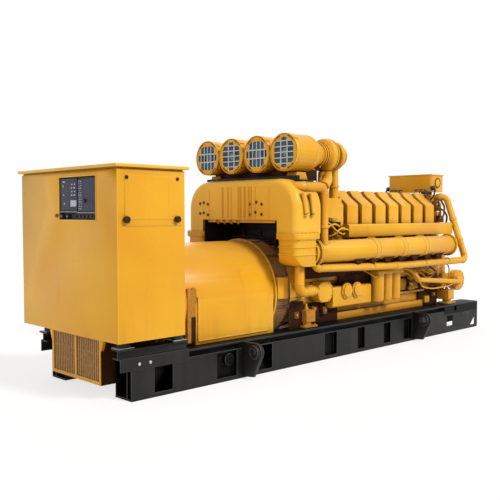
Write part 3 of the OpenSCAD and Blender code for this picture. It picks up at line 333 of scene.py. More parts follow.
def finishPiece(name, bm, finish, sharpFrom=35, outward=True):
    if outward:
        bmesh.ops.remove_doubles(bm, verts=bm.verts, dist=0.000005)
        bmesh.ops.recalc_face_normals(bm, faces=bm.faces)
    mesh = bpy.data.meshes.new(name)
    bm.to_mesh(mesh)
    bm.free()
    mesh.materials.append(finishes[finish])
    mesh.shade_smooth()
    mesh.set_sharp_from_angle(angle=math.radians(sharpFrom))
    piece = bpy.data.objects.new(name, mesh)
    scene.collection.objects.link(piece)
    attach(piece, "root")
    return piece


# the CAD shapes with softened edges in a lighter finish, which is both wear and painted highlight; the widths
# are in millimetres
softEdges = {
    "skidBlack": {"right_rail": 4, "left_rail": 4, "cross_beams": 3, "lifting_lugs": 4,
                  "cabinet_supports": 2.5},
    "wearAndHighlightYellow": {"cabinet_roof": 5},
    "sheetYellow": {"cabinet": 4, "cabinet_side_covers": 1.2, "air_inlet_box": 2, "alternator_barrel": 3,
                    "alternator_end_ring": 3, "terminal_box": 3, "oil_pan": 4, "junction_box": 3,
                    "air_cleaner_1": 1.5, "air_cleaner_2": 1.5, "air_cleaner_3": 1.5, "air_cleaner_4": 1.5,
                    "coolant_pipes": 3, "charge_air_pipes": 3, "oil_filters": 3},
    "castYellow": {"flywheel_housing": 3, "crankcase": 3, "cylinder_heads": 3, "right_valve_covers": 4,
                   "left_valve_covers": 4, "water_manifolds": 3, "right_intake_plenum": 3,
                   "left_intake_plenum": 3, "right_intake_elbow": 3, "left_intake_elbow": 3,
                   "turbochargers": 3, "exhaust_manifold": 3, "thermostat_housing": 3, "front_housing": 3,
                   "crankshaft_damper": 3, "water_pumps": 3},
    "meshBrown": {"inlet_screens": 1, "outlet_screen": 2},
    "panelDark": {"control_panel": 2},
    "filterBlue": {"filter_elements": 3},
}
# bevelled edges take a lighter finish: wear and painted highlight
edgeFinishes = {"skidBlack": "wearAndHighlightBlack", "sheetYellow": "wearAndHighlightYellow", "castYellow": "wearAndHighlightYellow"}
softKit = {"merge": 0.00002, "flatBelow": 0.6, "cornerAbove": 32}        # metres, degrees, degrees
dropSmall = {"charge_air_pipes": 0.25}        # smaller solids are left out, and made again in sideTubes
# limits of the faces that take painted shade
paintedShadeKit = {"sideways": 0.8, "railSkin": 0.004, "inletFrame": 0.03, "footTop": 0.62, "footInside": 0.49}
railSlots = {"rails": ("right_rail", "left_rail"), "reach": 0.80,
             "spans": ((1.643, 1.713, 0.216, 0.316), (2.551, 2.617, 0.308, 0.380)),
             "band": (2.28, 3.215, 0.275, 0.383)}        # spans and band as x from, x to, z from, z to


def railShadedFaces(at, facing, low, high):
    # all of a rail but its outermost side, which takes the darker black of painted shade
    outer = max(abs(low.y), abs(high.y))
    return not (abs(facing.y) > paintedShadeKit["sideways"] and abs(at.y) > outer - paintedShadeKit["railSkin"])


def inletShadedSides(at, facing, low, high):
    # the sides of the air inlet box, in front of its rear frame, which take a dark brown as painted shade
    return abs(facing.y) > paintedShadeKit["sideways"] and at.x > low.x + paintedShadeKit["inletFrame"]


def shadedMachineFoot(at, facing, low, high):
    # the feet of the flywheel housing, which take a shaded tan as painted shade
    return at.z < paintedShadeKit["footTop"] and abs(at.y) > paintedShadeKit["footInside"]


# faces of CAD shapes that take a second, darker finish as painted shade
paintedShadeFinish = {"right_rail": ("recessShadeBlack", railShadedFaces), "left_rail": ("recessShadeBlack", railShadedFaces),
                "air_inlet_box": ("deepShadeBrown", inletShadedSides), "flywheel_housing": ("shadedTan", shadedMachineFoot)}


def cutSlots(piece):
    # two upright slots through each rail
    tool = bmesh.new()
    for x0, x1, z0, z1 in railSlots["spans"]:
        addBox(tool, (x0, -railSlots["reach"], z0), (x1, railSlots["reach"], z1))
    bmesh.ops.recalc_face_normals(tool, faces=tool.faces)
    mesh = bpy.data.meshes.new("slotTool")
    tool.to_mesh(mesh)
    tool.free()
    holder = bpy.data.objects.new("slotTool", mesh)
    scene.collection.objects.link(holder)
    cut = piece.modifiers.new("slots", "BOOLEAN")
    cut.operation, cut.solver, cut.object = "DIFFERENCE", "EXACT", holder
    made = bpy.data.meshes.new_from_object(piece.evaluated_get(bpy.context.evaluated_depsgraph_get()))
    piece.modifiers.clear()
    piece.data = made
    bpy.data.objects.remove(holder)
    bpy.data.meshes.remove(mesh)


def looseParts(bm):
    # the vertices of each separate solid
    left, parts = set(bm.verts), []
    while left:
        grow = [left.pop()]
        part = list(grow)
        while grow:
            vert = grow.pop()
            for edge in vert.link_edges:
                other = edge.other_vert(vert)
                if other in left:
                    left.remove(other)
                    grow.append(other)
                    part.append(other)
        parts.append(part)
    return parts


def partSize(part):
    return max(max(vert.co[i] for vert in part) - min(vert.co[i] for vert in part) for i in range(3))


def softenNode(nodeName, finish, width):
    bm = bmesh.new()
    bm.from_mesh(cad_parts[nodeName].data)
    bmesh.ops.remove_doubles(bm, verts=bm.verts, dist=softKit["merge"])
    if nodeName in dropSmall:
        small = [part for part in looseParts(bm) if partSize(part) < dropSmall[nodeName]]
        bmesh.ops.delete(bm, geom=[vert for part in small for vert in part], context="VERTS")
    flat = math.radians(softKit["flatBelow"])
    bmesh.ops.dissolve_limit(bm, angle_limit=flat, verts=bm.verts, edges=bm.edges)
    mesh = bpy.data.meshes.new(nodeName + "Finished")
    bm.to_mesh(mesh)
    bm.free()
    mesh.materials.clear()
    mesh.materials.append(finishes[finish])
    mesh.materials.append(finishes[edgeFinishes.get(finish, finish)])
    mesh.shade_smooth()
    if nodeName in paintedShadeFinish:
        other, belongs = paintedShadeFinish[nodeName]
        mesh.materials.append(finishes[other])
        low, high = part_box(nodeName)
        for face in mesh.polygons:
            if belongs(face.center, face.normal, low, high):
                face.material_index = 2
    piece = bpy.data.objects.new(nodeName + "Finished", mesh)
    scene.collection.objects.link(piece)
    if nodeName in railSlots["rails"]:
        cutSlots(piece)
    bevel = piece.modifiers.new("softEdge", "BEVEL")
    bevel.width, bevel.segments, bevel.profile = width / 1000, 2, 0.5
    bevel.material = -1 if nodeName in paintedShadeFinish and nodeName not in railSlots["rails"] else 1
    bevel.limit_method, bevel.angle_limit = "ANGLE", math.radians(softKit["cornerAbove"])
    bevel.use_clamp_overlap, bevel.harden_normals = False, True
    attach(piece, "root")
    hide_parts(nodeName)


for finishName, widths in softEdges.items():
    for partName, edgeWidth in widths.items():
        softenNode(partName, finishName, edgeWidth)
print("CAD shapes finished")


# aftercooler
coolerLow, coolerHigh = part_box("aftercooler")
coolerKit = {"shoulder": 0.34, "leg": 0.295, "archTop": 1.690, "bellyLow": 1.655, "bellyHalf": 0.60,
             "round": 0.085, "near": coolerLow.x + 0.02, "top": coolerHigh.z + 0.034, "seams": (-0.52, 0.52),
             "ribs": (0.283, 0.264, 0.174, 0.12, -0.004, -0.038, -0.056, -0.107, -0.125, -0.176, -0.193,
                      -0.226, -0.293),
             "cleats": ((0.694, 1.888), (0.624, 1.900), (0.546, 1.880), (0.694, 1.765), (0.624, 1.772),
                        (0.546, 1.746), (-0.215, 1.873), (-0.317, 1.896), (-0.401, 1.872), (-0.215, 1.754),
                        (-0.300, 1.778), (-0.401, 1.754)),
             "cleatSize": 0.015, "gussets": (0.42, 0.30, 0.18, 0.06), "gussetHalf": 0.009,
             "plateInset": 0.032, "plateHalf": 0.0025, "plateDrop": 0.16}


def coolerBody():
    # the arch with rounded shoulders
    kit, half = coolerKit, coolerHigh.y
    reach, inner, archTop = kit["shoulder"], half - kit["leg"], kit["archTop"]
    outline = [(-half, coolerLow.z)]
    for degrees in range(0, 91, 6):
        turn = math.radians(degrees)
        outline.append((-half + reach - reach * math.cos(turn), kit["top"] - reach + reach * math.sin(turn)))
    outline += [(-y, z) for y, z in reversed(outline)]
    outer = len(outline)
    outline += [(inner, coolerLow.z), (inner, archTop), (-inner, archTop), (-inner, coolerLow.z)]
    body = bmesh.new()
    loops = addPrism(body, *[[(x, y, z) for y, z in outline] for x in (kit["near"], coolerHigh.x)])
    bmesh.ops.recalc_face_normals(body, faces=body.faces)
    rims = [body.edges.get((loop[i], loop[i + 1])) for loop in loops for i in range(outer - 1)]
    roundEdges(body, rims, kit["round"], segments=6)
    piece = finishPiece("coolerBody", body, "brightenedCoolerYellow", sharpFrom=28)
    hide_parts("aftercooler")


def coolerDetails():
    # the belly, the upright ribs and seams of the face, and gussets under its lower edge
    kit, near, archTop = coolerKit, coolerKit["near"], coolerKit["archTop"]
    details = bmesh.new()
    addBox(details, (near + 0.045, -kit["bellyHalf"], kit["bellyLow"]),
           (coolerHigh.x - 0.03, kit["bellyHalf"], archTop + 0.01), 0.004)
    for i, y in enumerate(kit["ribs"]):
        deep = 0.005 + 0.002 * (i % 3)
        addBox(details, (near - deep, y - 0.004, archTop + 0.012),
               (near + 0.003, y + 0.004, kit["top"] - 0.080))
    for y in kit["seams"]:
        addBox(details, (near - 0.003, y - 0.003, archTop + 0.008),
               (near + 0.003, y + 0.003, kit["top"] - 0.09))
    slab = [(near + 0.004, archTop + 0.004), (near + 0.004, archTop - 0.014),
            (near + 0.07, kit["bellyLow"] - 0.022), (near + 0.07, archTop + 0.004)]
    for y in kit["gussets"]:
        faces = (y - kit["gussetHalf"], y + kit["gussetHalf"])
        addPrism(details, *[[(x, face, z) for x, z in slab] for face in faces])
    finishPiece("coolerDetails", details, "brightenedCoolerYellow")


def coolerCleats():
    # bolt heads in two groups of six on the face, in a dull brown that paints their shade
    cleats = bmesh.new()
    for y, z in coolerKit["cleats"]:
        addBolt(cleats, (coolerKit["near"] - 0.001, y, z), (-1, 0, 0), coolerKit["cleatSize"])
    finishPiece("coolerCleats", cleats, "dullShadeBrown", outward=False)


def archSidePlates():
    # black plates inside the legs of the arch
    kit, plates = coolerKit, bmesh.new()
    inner = coolerHigh.y - kit["leg"] - kit["plateInset"]
    for side in (-1, 1):
        sideBox(plates, side, (kit["near"] + 0.006, coolerHigh.x + 0.03),
                (inner - kit["plateHalf"], inner + kit["plateHalf"]),
                (coolerLow.z - kit["plateDrop"], kit["bellyLow"] + 0.02))
    finishPiece("archSidePlates", plates, "skidBlack")


tubeKit = {"radius": 0.027, "collar": 0.034, "topOut": 0.004, "footOut": 0.018,
           "paths": (((-1.070, 2.000), (-1.035, 1.765)), ((-0.950, 1.990), (-0.925, 1.765)))}


def sideTubes():
    # two short tubes down each side of the aftercooler, with a collar at each foot
    kit, tubes = tubeKit, bmesh.new()
    for side in (-1, 1):
        topY, footY = side * (coolerHigh.y + kit["topOut"]), side * (coolerHigh.y + kit["footOut"])
        for (topX, topZ), (footX, footZ) in kit["paths"]:
            addRod(tubes, (topX, topY, topZ), (footX, footY, footZ), kit["radius"], sides=28)
            addRod(tubes, (footX - 0.004, footY, footZ - 0.004), (footX + 0.004, footY, footZ - 0.022),
                   kit["collar"], sides=28, edge=0.004)
    finishPiece("sideTubes", tubes, "wearAndHighlightYellow")


coolerBody()
coolerDetails()
coolerCleats()
archSidePlates()
sideTubes()
print("aftercooler made")


# alternator sides
sideKit = {"lip": 0.014, "stand": 0.012,
           "profile": ((-0.012, 0.89), (0.001, 0.86), (0.006, 0.80), (0.012, 0.74)),
           "rearTrimTop": 0.90, "frontTrimTop": 0.80,
           "slotX": (-2.410, -2.338), "slotZ": (0.445, 0.965), "slotSplit": 0.70, "slotInside": 0.55,
           "post": (0.055, 0.004), "postInside": 0.56}


def alternatorSides():
    # smooth lower sides that run out of the barrel, and a slot with a rounded top in front of a post; slot and
    # post are painted shade, dark brown below and tan above
    low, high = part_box("alternator_side_plates")
    kit, face = sideKit, high.y - sideKit["lip"]
    plates, slotShadeDark, slotShadeTan, trim = bmesh.new(), bmesh.new(), bmesh.new(), bmesh.new()
    outline = [(face + out, z) for out, z in kit["profile"]]
    outline += [(face + kit["stand"], low.z), (face - 0.012, low.z)]
    trimY, slotY = (face - 0.004, face + 0.014), (kit["slotInside"], face - 0.001)
    start, end = kit["slotX"]
    bottom, top = kit["slotZ"]
    middle = (start + end) / 2
    for side in (-1, 1):
        addPrism(plates, *[[(x, side * y, z) for y, z in outline] for x in (low.x, high.x)])
        sideBox(trim, side, (low.x - 0.004, high.x + 0.004), trimY, (low.z - 0.004, low.z + 0.014), 0.004)
        sideBox(trim, side, (low.x - 0.010, low.x + 0.006), trimY, (low.z, kit["rearTrimTop"]), 0.004)
        sideBox(trim, side, (high.x - 0.012, high.x), trimY, (low.z, kit["frontTrimTop"]), 0.004)
        sideBox(slotShadeDark, side, (start, end), slotY, (bottom, kit["slotSplit"]))
        sideBox(slotShadeTan, side, (start, end), slotY, (kit["slotSplit"], top))
        addRod(slotShadeTan, (middle, side * kit["slotInside"], top), (middle, side * (face - 0.002), top),
               (end - start) / 2, sides=32)
        sideBox(slotShadeTan, side, (start - kit["post"][0], start - kit["post"][1]),
                (kit["postInside"], face + 0.006), (bottom - 0.01, top + 0.03), 0.006)
    piece = finishPiece("alternatorSides", plates, "sheetYellow")
    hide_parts("alternator_side_plates")
    finishPiece("alternatorSlotShade", slotShadeDark, "deepShadeBrown")
    finishPiece("alternatorSlotTopShade", slotShadeTan, "shadedTan")
    finishPiece("alternatorTrim", trim, "wearAndHighlightYellow")


alternatorSides()
print("alternator sides made")


# control cabinet
cabinetLow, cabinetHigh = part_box("cabinet")
coverLow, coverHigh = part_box("cabinet_side_covers")
cabinetKit = {"inset": (0.020, 0.054), "knobShift": 0.013, "knobDrop": 0.415, "knobRadius": 0.031,
              "knobReach": 0.040, "stemRadius": 0.021, "lobes": 10, "fastenerDrop": 0.036,
              "fastenerRadius": 0.017}


def cabinetKnobs():
    # two lobed knobs and two slotted fasteners on each side cover
    kit = cabinetKit
    knobs, fasteners, slotShadeDark = bmesh.new(), bmesh.new(), bmesh.new()
    for side in (-1, 1):
        face = side * (cabinetHigh.y + 0.004)
        for place in (coverLow.x + kit["inset"][0], coverHigh.x - kit["inset"][1]):
            x, z = place - kit["knobShift"], coverHigh.z - kit["knobDrop"]
            addRod(knobs, (x, face, z), (x, face + side * 0.012, z), kit["stemRadius"])
            made = addRod(knobs, (x, face + side * 0.010, z), (x, face + side * kit["knobReach"], z),
                          kit["knobRadius"], sides=kit["lobes"] * 4)
            for vert in made:
                flat = vert.co - Vector((x, 0, z))
                squeeze = 1 - 0.05 * (1 + math.cos(math.atan2(flat.z, flat.x) * kit["lobes"]))
                vert.co.x, vert.co.z = x + flat.x * squeeze, z + flat.z * squeeze
            z = coverHigh.z - kit["fastenerDrop"]
            addRod(fasteners, (place, face, z), (place, face + side * 0.012, z), kit["fastenerRadius"],
                   edge=0.003)
            # painted shade: a thin dark bar stands for the shade in each fastener's slot
            addBlock(slotShadeDark, (place, face + side * 0.0115, z), (0.012, 0.001, 0.002))
    finishPiece("cabinetKnobs", knobs, "knobBrown", sharpFrom=50)
    finishPiece("cabinetFasteners", fasteners, "knobBrown")
    finishPiece("fastenerSlotShade", slotShadeDark, "panelDark")


panelKit = {"recess": 0.050, "stripRecess": 0.030, "moduleY": (0.014, 0.329), "wideZ": (1.792, 2.102),
            "narrowZ": (1.788, 2.088), "displayZ": (1.832, 1.892), "keysFrom": 1.935, "lampsFrom": 1.86,
            "keyRows": 13, "keysLow": 1.806, "dialZ": 1.885, "wideTrimZ": (1.776, 1.786),
            "narrowTrimZ": (1.768, 1.779), "stripZ": 1.738, "switches": (0.075, -0.035), "buttons": 5,
            "stop": (0.148, 1.745), "rim": 0.006}


def controlInstruments():
    # two modules in the panel's opening, and a strip with switches under them
    low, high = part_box("control_panel")
    kit, inset = panelKit, panelKit["moduleY"]
    front, stripFace = high.x - kit["recess"] - 0.004, high.x - kit["stripRecess"]
    navy, pale, dark, trim = bmesh.new(), bmesh.new(), bmesh.new(), bmesh.new()
    wide, narrow = (high.y - inset[1], high.y - inset[0]), (low.y + inset[0], low.y + inset[1])
    for span, z in ((wide, kit["wideZ"]), (narrow, kit["narrowZ"])):
        addBox(navy, (front, span[0] + 0.004, z[0]), (front + 0.010, span[1] - 0.004, z[1]), 0.002)
    # wide module: display, keys, lamps and a marking plate
    addBox(pale, (front - 0.003, wide[0] + 0.012, kit["displayZ"][0]),
           (front + 0.004, wide[0] + 0.118, kit["displayZ"][1]), 0.002)
    for row in range(4):
        for column in range(2):
            y, z = wide[0] + 0.03 + column * 0.05, kit["keysFrom"] + row * 0.034
            long = 0.026 - 0.006 * (row % 2)
            addBox(pale, (front - 0.004, y, z), (front + 0.003, y + long, z + 0.014), 0.002)
    for row in range(3):
        y, z = wide[1] - 0.085 + 0.012 * row, kit["lampsFrom"] + row * 0.085
        addRod(pale, (front + 0.002, y, z), (front - 0.005, y, z), 0.010, sides=16, edge=0.002)
    addBox(pale, (front - 0.003, wide[1] - 0.10, 2.064), (front + 0.003, wide[1] - 0.05, 2.076), 0.002)
    # narrow module: columns of small keys beside a dial
    for row in range(kit["keyRows"]):
        for column in range(3):
            y, z = narrow[1] - 0.026 - column * 0.032, kit["keysLow"] + row * 0.0215
            long = 0.007 - 0.006 * (row % 3)
            addBox(pale if column < 2 else dark, (front - 0.003, y - 0.011, z),
                   (front + 0.003, y + long, z + 0.008))
    y, z = narrow[1] - 0.13, kit["dialZ"]
    addRod(dark, (front, y, z), (front - 0.022, y, z), 0.021, 0.018, edge=0.003)
    for start, end, z in ((wide[0] - 0.004, wide[1] + 0.008, kit["wideTrimZ"]),
                          (narrow[0] - 0.006, narrow[1] + 0.006, kit["narrowTrimZ"])):
        addBox(trim, (front - 0.006, start, z[0]), (front + 0.006, end, z[1]), 0.002)
    # strip: two switches and a row of buttons
    z = kit["stripZ"]
    for y in kit["switches"]:
        addRod(dark, (stripFace, y, z), (stripFace - 0.034, y, z), 0.024, 0.020, edge=0.003)
        addRod(pale, (stripFace - 0.033, y, z), (stripFace - 0.037, y, z), 0.006, sides=12)
    for i in range(kit["buttons"]):
        y = -0.16 - i * 0.07
        addRod(dark, (stripFace, y, z), (stripFace - 0.012, y, z), 0.011, sides=16, edge=0.002)
    finishPiece("moduleFaces", navy, "panelNavy")
    finishPiece("moduleButtons", pale, "panelPale")
    finishPiece("moduleKnobs", dark, "panelDark")
    finishPiece("moduleTrim", trim, "panelTrim")


def emergencyStop():
    stop, face = bmesh.new(), cabinetLow.x
    y, z = panelKit["stop"]
    addRod(stop, (face, y, z), (face - 0.014, y, z), 0.012)
    addRod(stop, (face - 0.012, y, z), (face - 0.026, y, z), 0.018, 0.016, edge=0.004)
    finishPiece("emergencyStop", stop, "stopOrange")


def panelRim():
    # a rounded rim round the panel's opening
    low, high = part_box("control_panel")
    rim, face, half = bmesh.new(), cabinetLow.x, panelKit["rim"]
    for y in (low.y, high.y):
        addBox(rim, (face - 0.004, y - half, low.z - half), (face + 0.010, y + half, high.z + half), 0.002)
    for z in (low.z, high.z):
        addBox(rim, (face - 0.004, low.y, z - half), (face + 0.010, high.y, z + half), 0.002)
    finishPiece("panelRim", rim, "wearAndHighlightYellow")


cabinetKnobs()
controlInstruments()
emergencyStop()
panelRim()
print("cabinet detailed")


# screens
screenKit = {"pitch": 0.034, "rowPitch": 0.120, "wire": 0.0070, "post": 0.017, "drumWires": 180,
             "drumRings": 11, "drumInset": 0.012}


def inletWires():
    # upright wires and thinner rows over the two halves of the rear screen
    low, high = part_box("inlet_screens")
    kit, wires = screenKit, bmesh.new()
    thick = kit["wire"]
    for near, far in ((low.y, -kit["post"]), (kit["post"], high.y)):
        count = int((far - near) / kit["pitch"])
        for i in range(1, count):
            y = near + i * (far - near) / count
            addBox(wires, (low.x - 0.004, y - thick, low.z), (low.x + 0.002, y + thick, high.z))
        rows = int((high.z - low.z) / kit["rowPitch"])
        for i in range(1, rows):
            z = low.z + i * (high.z - low.z) / rows
            addBox(wires, (low.x - 0.003, near, z - thick / 4), (low.x + 0.001, far, z + thick / 4))
    finishPiece("inletWires", wires, "wireBrown", outward=False)


def outletWires():
    # wires along the drum screen, tied by rings round it
    low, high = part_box("outlet_screen")
    kit, wires = screenKit, bmesh.new()
    centre, length = (low.z + high.z) / 2, high.x - low.x
    radius = (high.z - low.z) / 2 - kit["drumInset"]
    middle = Matrix.Translation(((low.x + high.x) / 2, 0, centre))
    wire = Matrix.Translation((0, 0, radius + 0.001)) @ Matrix.Diagonal((length - 0.04, 0.005, 0.004, 1))
    for i in range(kit["drumWires"]):
        turn = Matrix.Rotation(math.tau * i / kit["drumWires"], 4, "X")
        bmesh.ops.create_cube(wires, size=1, matrix=middle @ turn @ wire)
    for i in range(1, kit["drumRings"]):
        x = low.x + 0.018 + i * (length - 0.036) / kit["drumRings"]
        addHoop(wires, (x, 0, centre), (1, 0, 0), radius, 0.004, 0.004, sides=96)
    finishPiece("outletWires", wires, "wireBrown")


inletWires()
outletWires()
print("screens detailed")


# bolts
def ringOf(centre, axis, radius, count, start=0.0):
    # places at equal steps on a circle
    axis = Vector(axis).normalized()
    first = axis.orthogonal().normalized() * radius
    turns = [start + math.tau * i / count for i in range(count)]
    return [Vector(centre) + Matrix.Rotation(turn, 3, axis) @ first for turn in turns]


def boltRow(start, end, count):
    start, end = Vector(start), Vector(end)
    return [start.lerp(end, i / (count - 1)) for i in range(count)]


def boltPiece(name, groups, finish="castYellow"):
    bolts = bmesh.new()
    for places, facing, size in groups:
        for place in places:
            addBolt(bolts, place, facing, size)
    finishPiece(name, bolts, finish, outward=False)


shaftZ, pitch = 0.84, 0.305
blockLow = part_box("crankcase")[0]
cylinderX = [blockLow.x + 0.616 + i * pitch for i in range(8)]


def mirroredGroups(places, facing, size):
    # the same bolts on the left and right faces
    return [(onSide(places, side), onSide([facing], side)[0], size) for side in (1, -1)]


endRingKit = {"radius": 0.611, "count": 36, "size": 0.008, "footX": (-2.29, -2.17, -1.38, -1.26),
              "footY": 0.545, "footZ": 0.430, "footSize": 0.015}


def alternatorBolts():
    kit, ringLow = endRingKit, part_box("alternator_end_ring")[0]
    ring = ringOf((ringLow.x, 0, shaftZ), (1, 0, 0), kit["radius"], kit["count"])
    groups = [(ring, (-1, 0, 0), kit["size"])]
    feet = [(x, kit["footY"], kit["footZ"]) for x in kit["footX"]]
    groups += mirroredGroups(feet, (0, 0, 1), kit["footSize"])
    boltPiece("alternatorBolts", groups)


# bolts round each cylinder: the face they stand on, their height, and their steps across and up
cylinderKit = {"head": (0.532, 1.15, (-0.075, 0.075), (-0.045, 0.045)),
               "door": (0.484, 0.755, (-0.092, 0, 0.092), (-0.062, 0.062)),
               "lip": (0.558, 1.4645, (-0.09, 0, 0.09), (0,))}
blockKit = {"size": 0.008, "hiddenDoors": 3, "coverX": 0.272, "coverY": 0.64, "coverDrop": 0.036,
            "cover": ((0.115, 0.05), (0.066, 0.106)), "coverSize": 0.010, "sumpX": (-0.45, 2.03),
            "sumpY": 0.478, "sumpZ": 0.625, "sumpCount": 22, "sumpSize": 0.009,
            "discX": (0.084, 0.291), "discY": -0.664, "discZ": 0.79, "discRadius": 0.089}


def blockBolts():
    kit, groups = blockKit, []
    for i, x in enumerate(cylinderX):
        for name, (y, z, across, up) in cylinderKit.items():
            both = mirroredGroups([(x + a, y, z + b) for a in across for b in up], (0, 1, 0), kit["size"])
            hidden = name == "door" and i < kit["hiddenDoors"]        # behind the oil cooler on the right
            groups += both[:1] if hidden else both
    x, z = blockLow.x + kit["coverX"], shaftZ - kit["coverDrop"]
    cover = [(x + a * m, kit["coverY"], z + b * n) for a, b in kit["cover"] for m in (-1, 1) for n in (-1, 1)]
    groups += mirroredGroups(cover, (0, 1, 0), kit["coverSize"])
    sump = boltRow(*[(x, kit["sumpY"], kit["sumpZ"]) for x in kit["sumpX"]], kit["sumpCount"])
    groups += mirroredGroups(sump, (0, 0, -1), kit["sumpSize"])
    for x in kit["discX"]:
        disc = ringOf((x, kit["discY"], kit["discZ"]), (0, 1, 0), kit["discRadius"], 8, 0.2)
        groups.append((disc, (0, -1, 0), kit["size"]))
    boltPiece("blockBolts", groups)


discPlace = {"x": 0.202, "z": 0.140}        # middle of the round covers, from the junction box's low corner
# rings are given as place along the axis, radius, count and size of bolt
frontKit = {"shaftRings": ((2.899, 0.088, 8, 0.014), (2.885, 0.2, 12, 0.010)),
            "pumpX": 2.862, "pumpZ": 0.745, "pumpRings": ((0.64, 0.136, 10, 0.010), (0.65, 0.085, 6, 0.008)),
            "cover": ((0.15, 0.63), (0.3, 0.63), (0.375, 0.72), (0.395, 0.86), (0.395, 1.0), (0.395, 1.11),
                      (0.34, 1.21), (0.27, 1.29), (0.14, 1.295), (0.0, 1.295)), "coverX": 2.723,
            "coverSize": 0.010, "housingX": (2.49, 2.6), "housingY": 0.38, "housingZ": (1.52, 2.0),
            "housingSize": 0.009, "housingFront": 2.625, "frontY": (-0.34, -0.2, 0.2, 0.34),
            "frontZ": (1.52, 1.76, 2.0), "frontSize": 0.010, "lidY": 0.375, "lidInset": 0.03,
            "lidSize": 0.007, "discY": 0.379, "discRadius": 0.074, "discSize": 0.006}


def frontBolts():
    kit, groups = frontKit, []
    for x, radius, count, size in kit["shaftRings"]:
        groups.append((ringOf((x, 0, shaftZ), (1, 0, 0), radius, count), (1, 0, 0), size))
    cover = [(kit["coverX"], y, z) for y, z in kit["cover"]]
    groups += mirroredGroups(cover, (1, 0, 0), kit["coverSize"])
    for y, radius, count, size in kit["pumpRings"]:
        ring = ringOf((kit["pumpX"], y, kit["pumpZ"]), (0, 1, 0), radius, count)
        groups += mirroredGroups(ring, (0, 1, 0), size)
    for x in kit["housingX"]:
        row = boltRow(*[(x, kit["housingY"], z) for z in kit["housingZ"]], 5)
        groups += mirroredGroups(row, (0, 1, 0), kit["housingSize"])
    front = [(kit["housingFront"], y, z) for y in kit["frontY"] for z in kit["frontZ"]]
    groups.append((front, (1, 0, 0), kit["frontSize"]))
    low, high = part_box("junction_box")
    for x in (low.x + kit["lidInset"], high.x - kit["lidInset"]):
        row = boltRow((x, -kit["lidY"], high.z), (x, kit["lidY"], high.z), 6)
        groups.append((row, (0, 0, 1), kit["lidSize"]))
    centre = (low.x + discPlace["x"], kit["discY"], low.z + discPlace["z"])
    disc = ringOf(centre, (0, 1, 0), kit["discRadius"], 8)
    groups += mirroredGroups(disc, (0, 1, 0), kit["discSize"])
    boltPiece("frontBolts", groups)


plenumAxis = {"y": 0.806, "z": shaftZ + 0.472}
intakeKit = {"rearX": ((-0.051, -1), (-0.009, 1)), "rearRadius": 0.151, "frontX": 2.236, "frontRadius": 0.147,
             "ledgeX": (-1.16, -0.83), "ledgeY": 0.957, "ledges": ((1.540, 1, 0.010), (1.476, -1, 0.009)),
             "size": 0.009, "flangeX": 2.222, "flange": (0.128, 0.031, 0.026)}


def intakeBolts():
    kit, groups = intakeKit, []
    y, z = plenumAxis["y"], plenumAxis["z"]
    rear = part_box("right_intake_plenum")[0].x
    for x, facing in kit["rearX"]:
        ring = ringOf((rear + x, y, z), (1, 0, 0), kit["rearRadius"], 14)
        groups += mirroredGroups(ring, (facing, 0, 0), kit["size"])
    for ledgeZ, facing, size in kit["ledges"]:
        row = boltRow(*[(x, kit["ledgeY"], ledgeZ) for x in kit["ledgeX"]], 6)
        groups += mirroredGroups(row, (0, 0, facing), size)
    ring = ringOf((kit["frontX"], y, z), (1, 0, 0), kit["frontRadius"], 12)
    groups += mirroredGroups(ring, (1, 0, 0), kit["size"])
    boltPiece("intakeBolts", groups)


def plenumEndFlange():
    flange = bmesh.new()
    for side in (-1, 1):
        centre = (intakeKit["flangeX"], side * plenumAxis["y"], plenumAxis["z"])
        addHoop(flange, centre, (1, 0, 0), *intakeKit["flange"], sides=48)
    finishPiece("plenumEndFlange", flange, "castYellow")


skidKit = {"supportX": (-3.165, -3.037), "supportZ": 0.352, "supportSize": 0.013, "studX": (-0.61, 2.605),
           "studY": 0.58, "studZ": 0.610, "footX": (-0.70, -0.52, 2.515, 2.695), "footY": (0.51, 0.64),
           "footZ": 0.425, "footSize": 0.014,
           "stud": ((0, 0.012, 0.036, 20), (0.012, 0.034, 0.027, 6), (0.034, 0.070, 0.014, 14))}


def skidBolts():
    # bolts of the cabinet's supports, and the studs and bolts of the engine's feet
    kit, face = skidKit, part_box("cabinet_supports")[1].y
    rows = [(x, face, kit["supportZ"]) for x in kit["supportX"]]
    boltPiece("supportBolts", mirroredGroups(rows, (0, 1, 0), kit["supportSize"]), "zincSteel")
    studs = bmesh.new()
    for x, y, z in bothSides([(x, kit["studY"], kit["studZ"]) for x in kit["studX"]]):
        for start, end, radius, sides in kit["stud"]:
            addRod(studs, (x, y, z + start), (x, y, z + end), radius, sides=sides)
    for place in bothSides([(x, y, kit["footZ"]) for x in kit["footX"] for y in kit["footY"]]):
        addBolt(studs, place, (0, 0, 1), kit["footSize"])
    finishPiece("mountStuds", studs, "castYellow", outward=False)


alternatorBolts()
blockBolts()
frontBolts()
intakeBolts()
plenumEndFlange()
skidBolts()
print("bolts placed")


# rails, beams and cabinet mounts
railKit = {"inner": (0.471, 0.483), "rear": (0.004, 0.30), "rearInset": 0.022, "front": (0.55, 0.20),
           "frontZ": (0.085, 0.27), "bandOut": (-0.0005, 0.0025)}


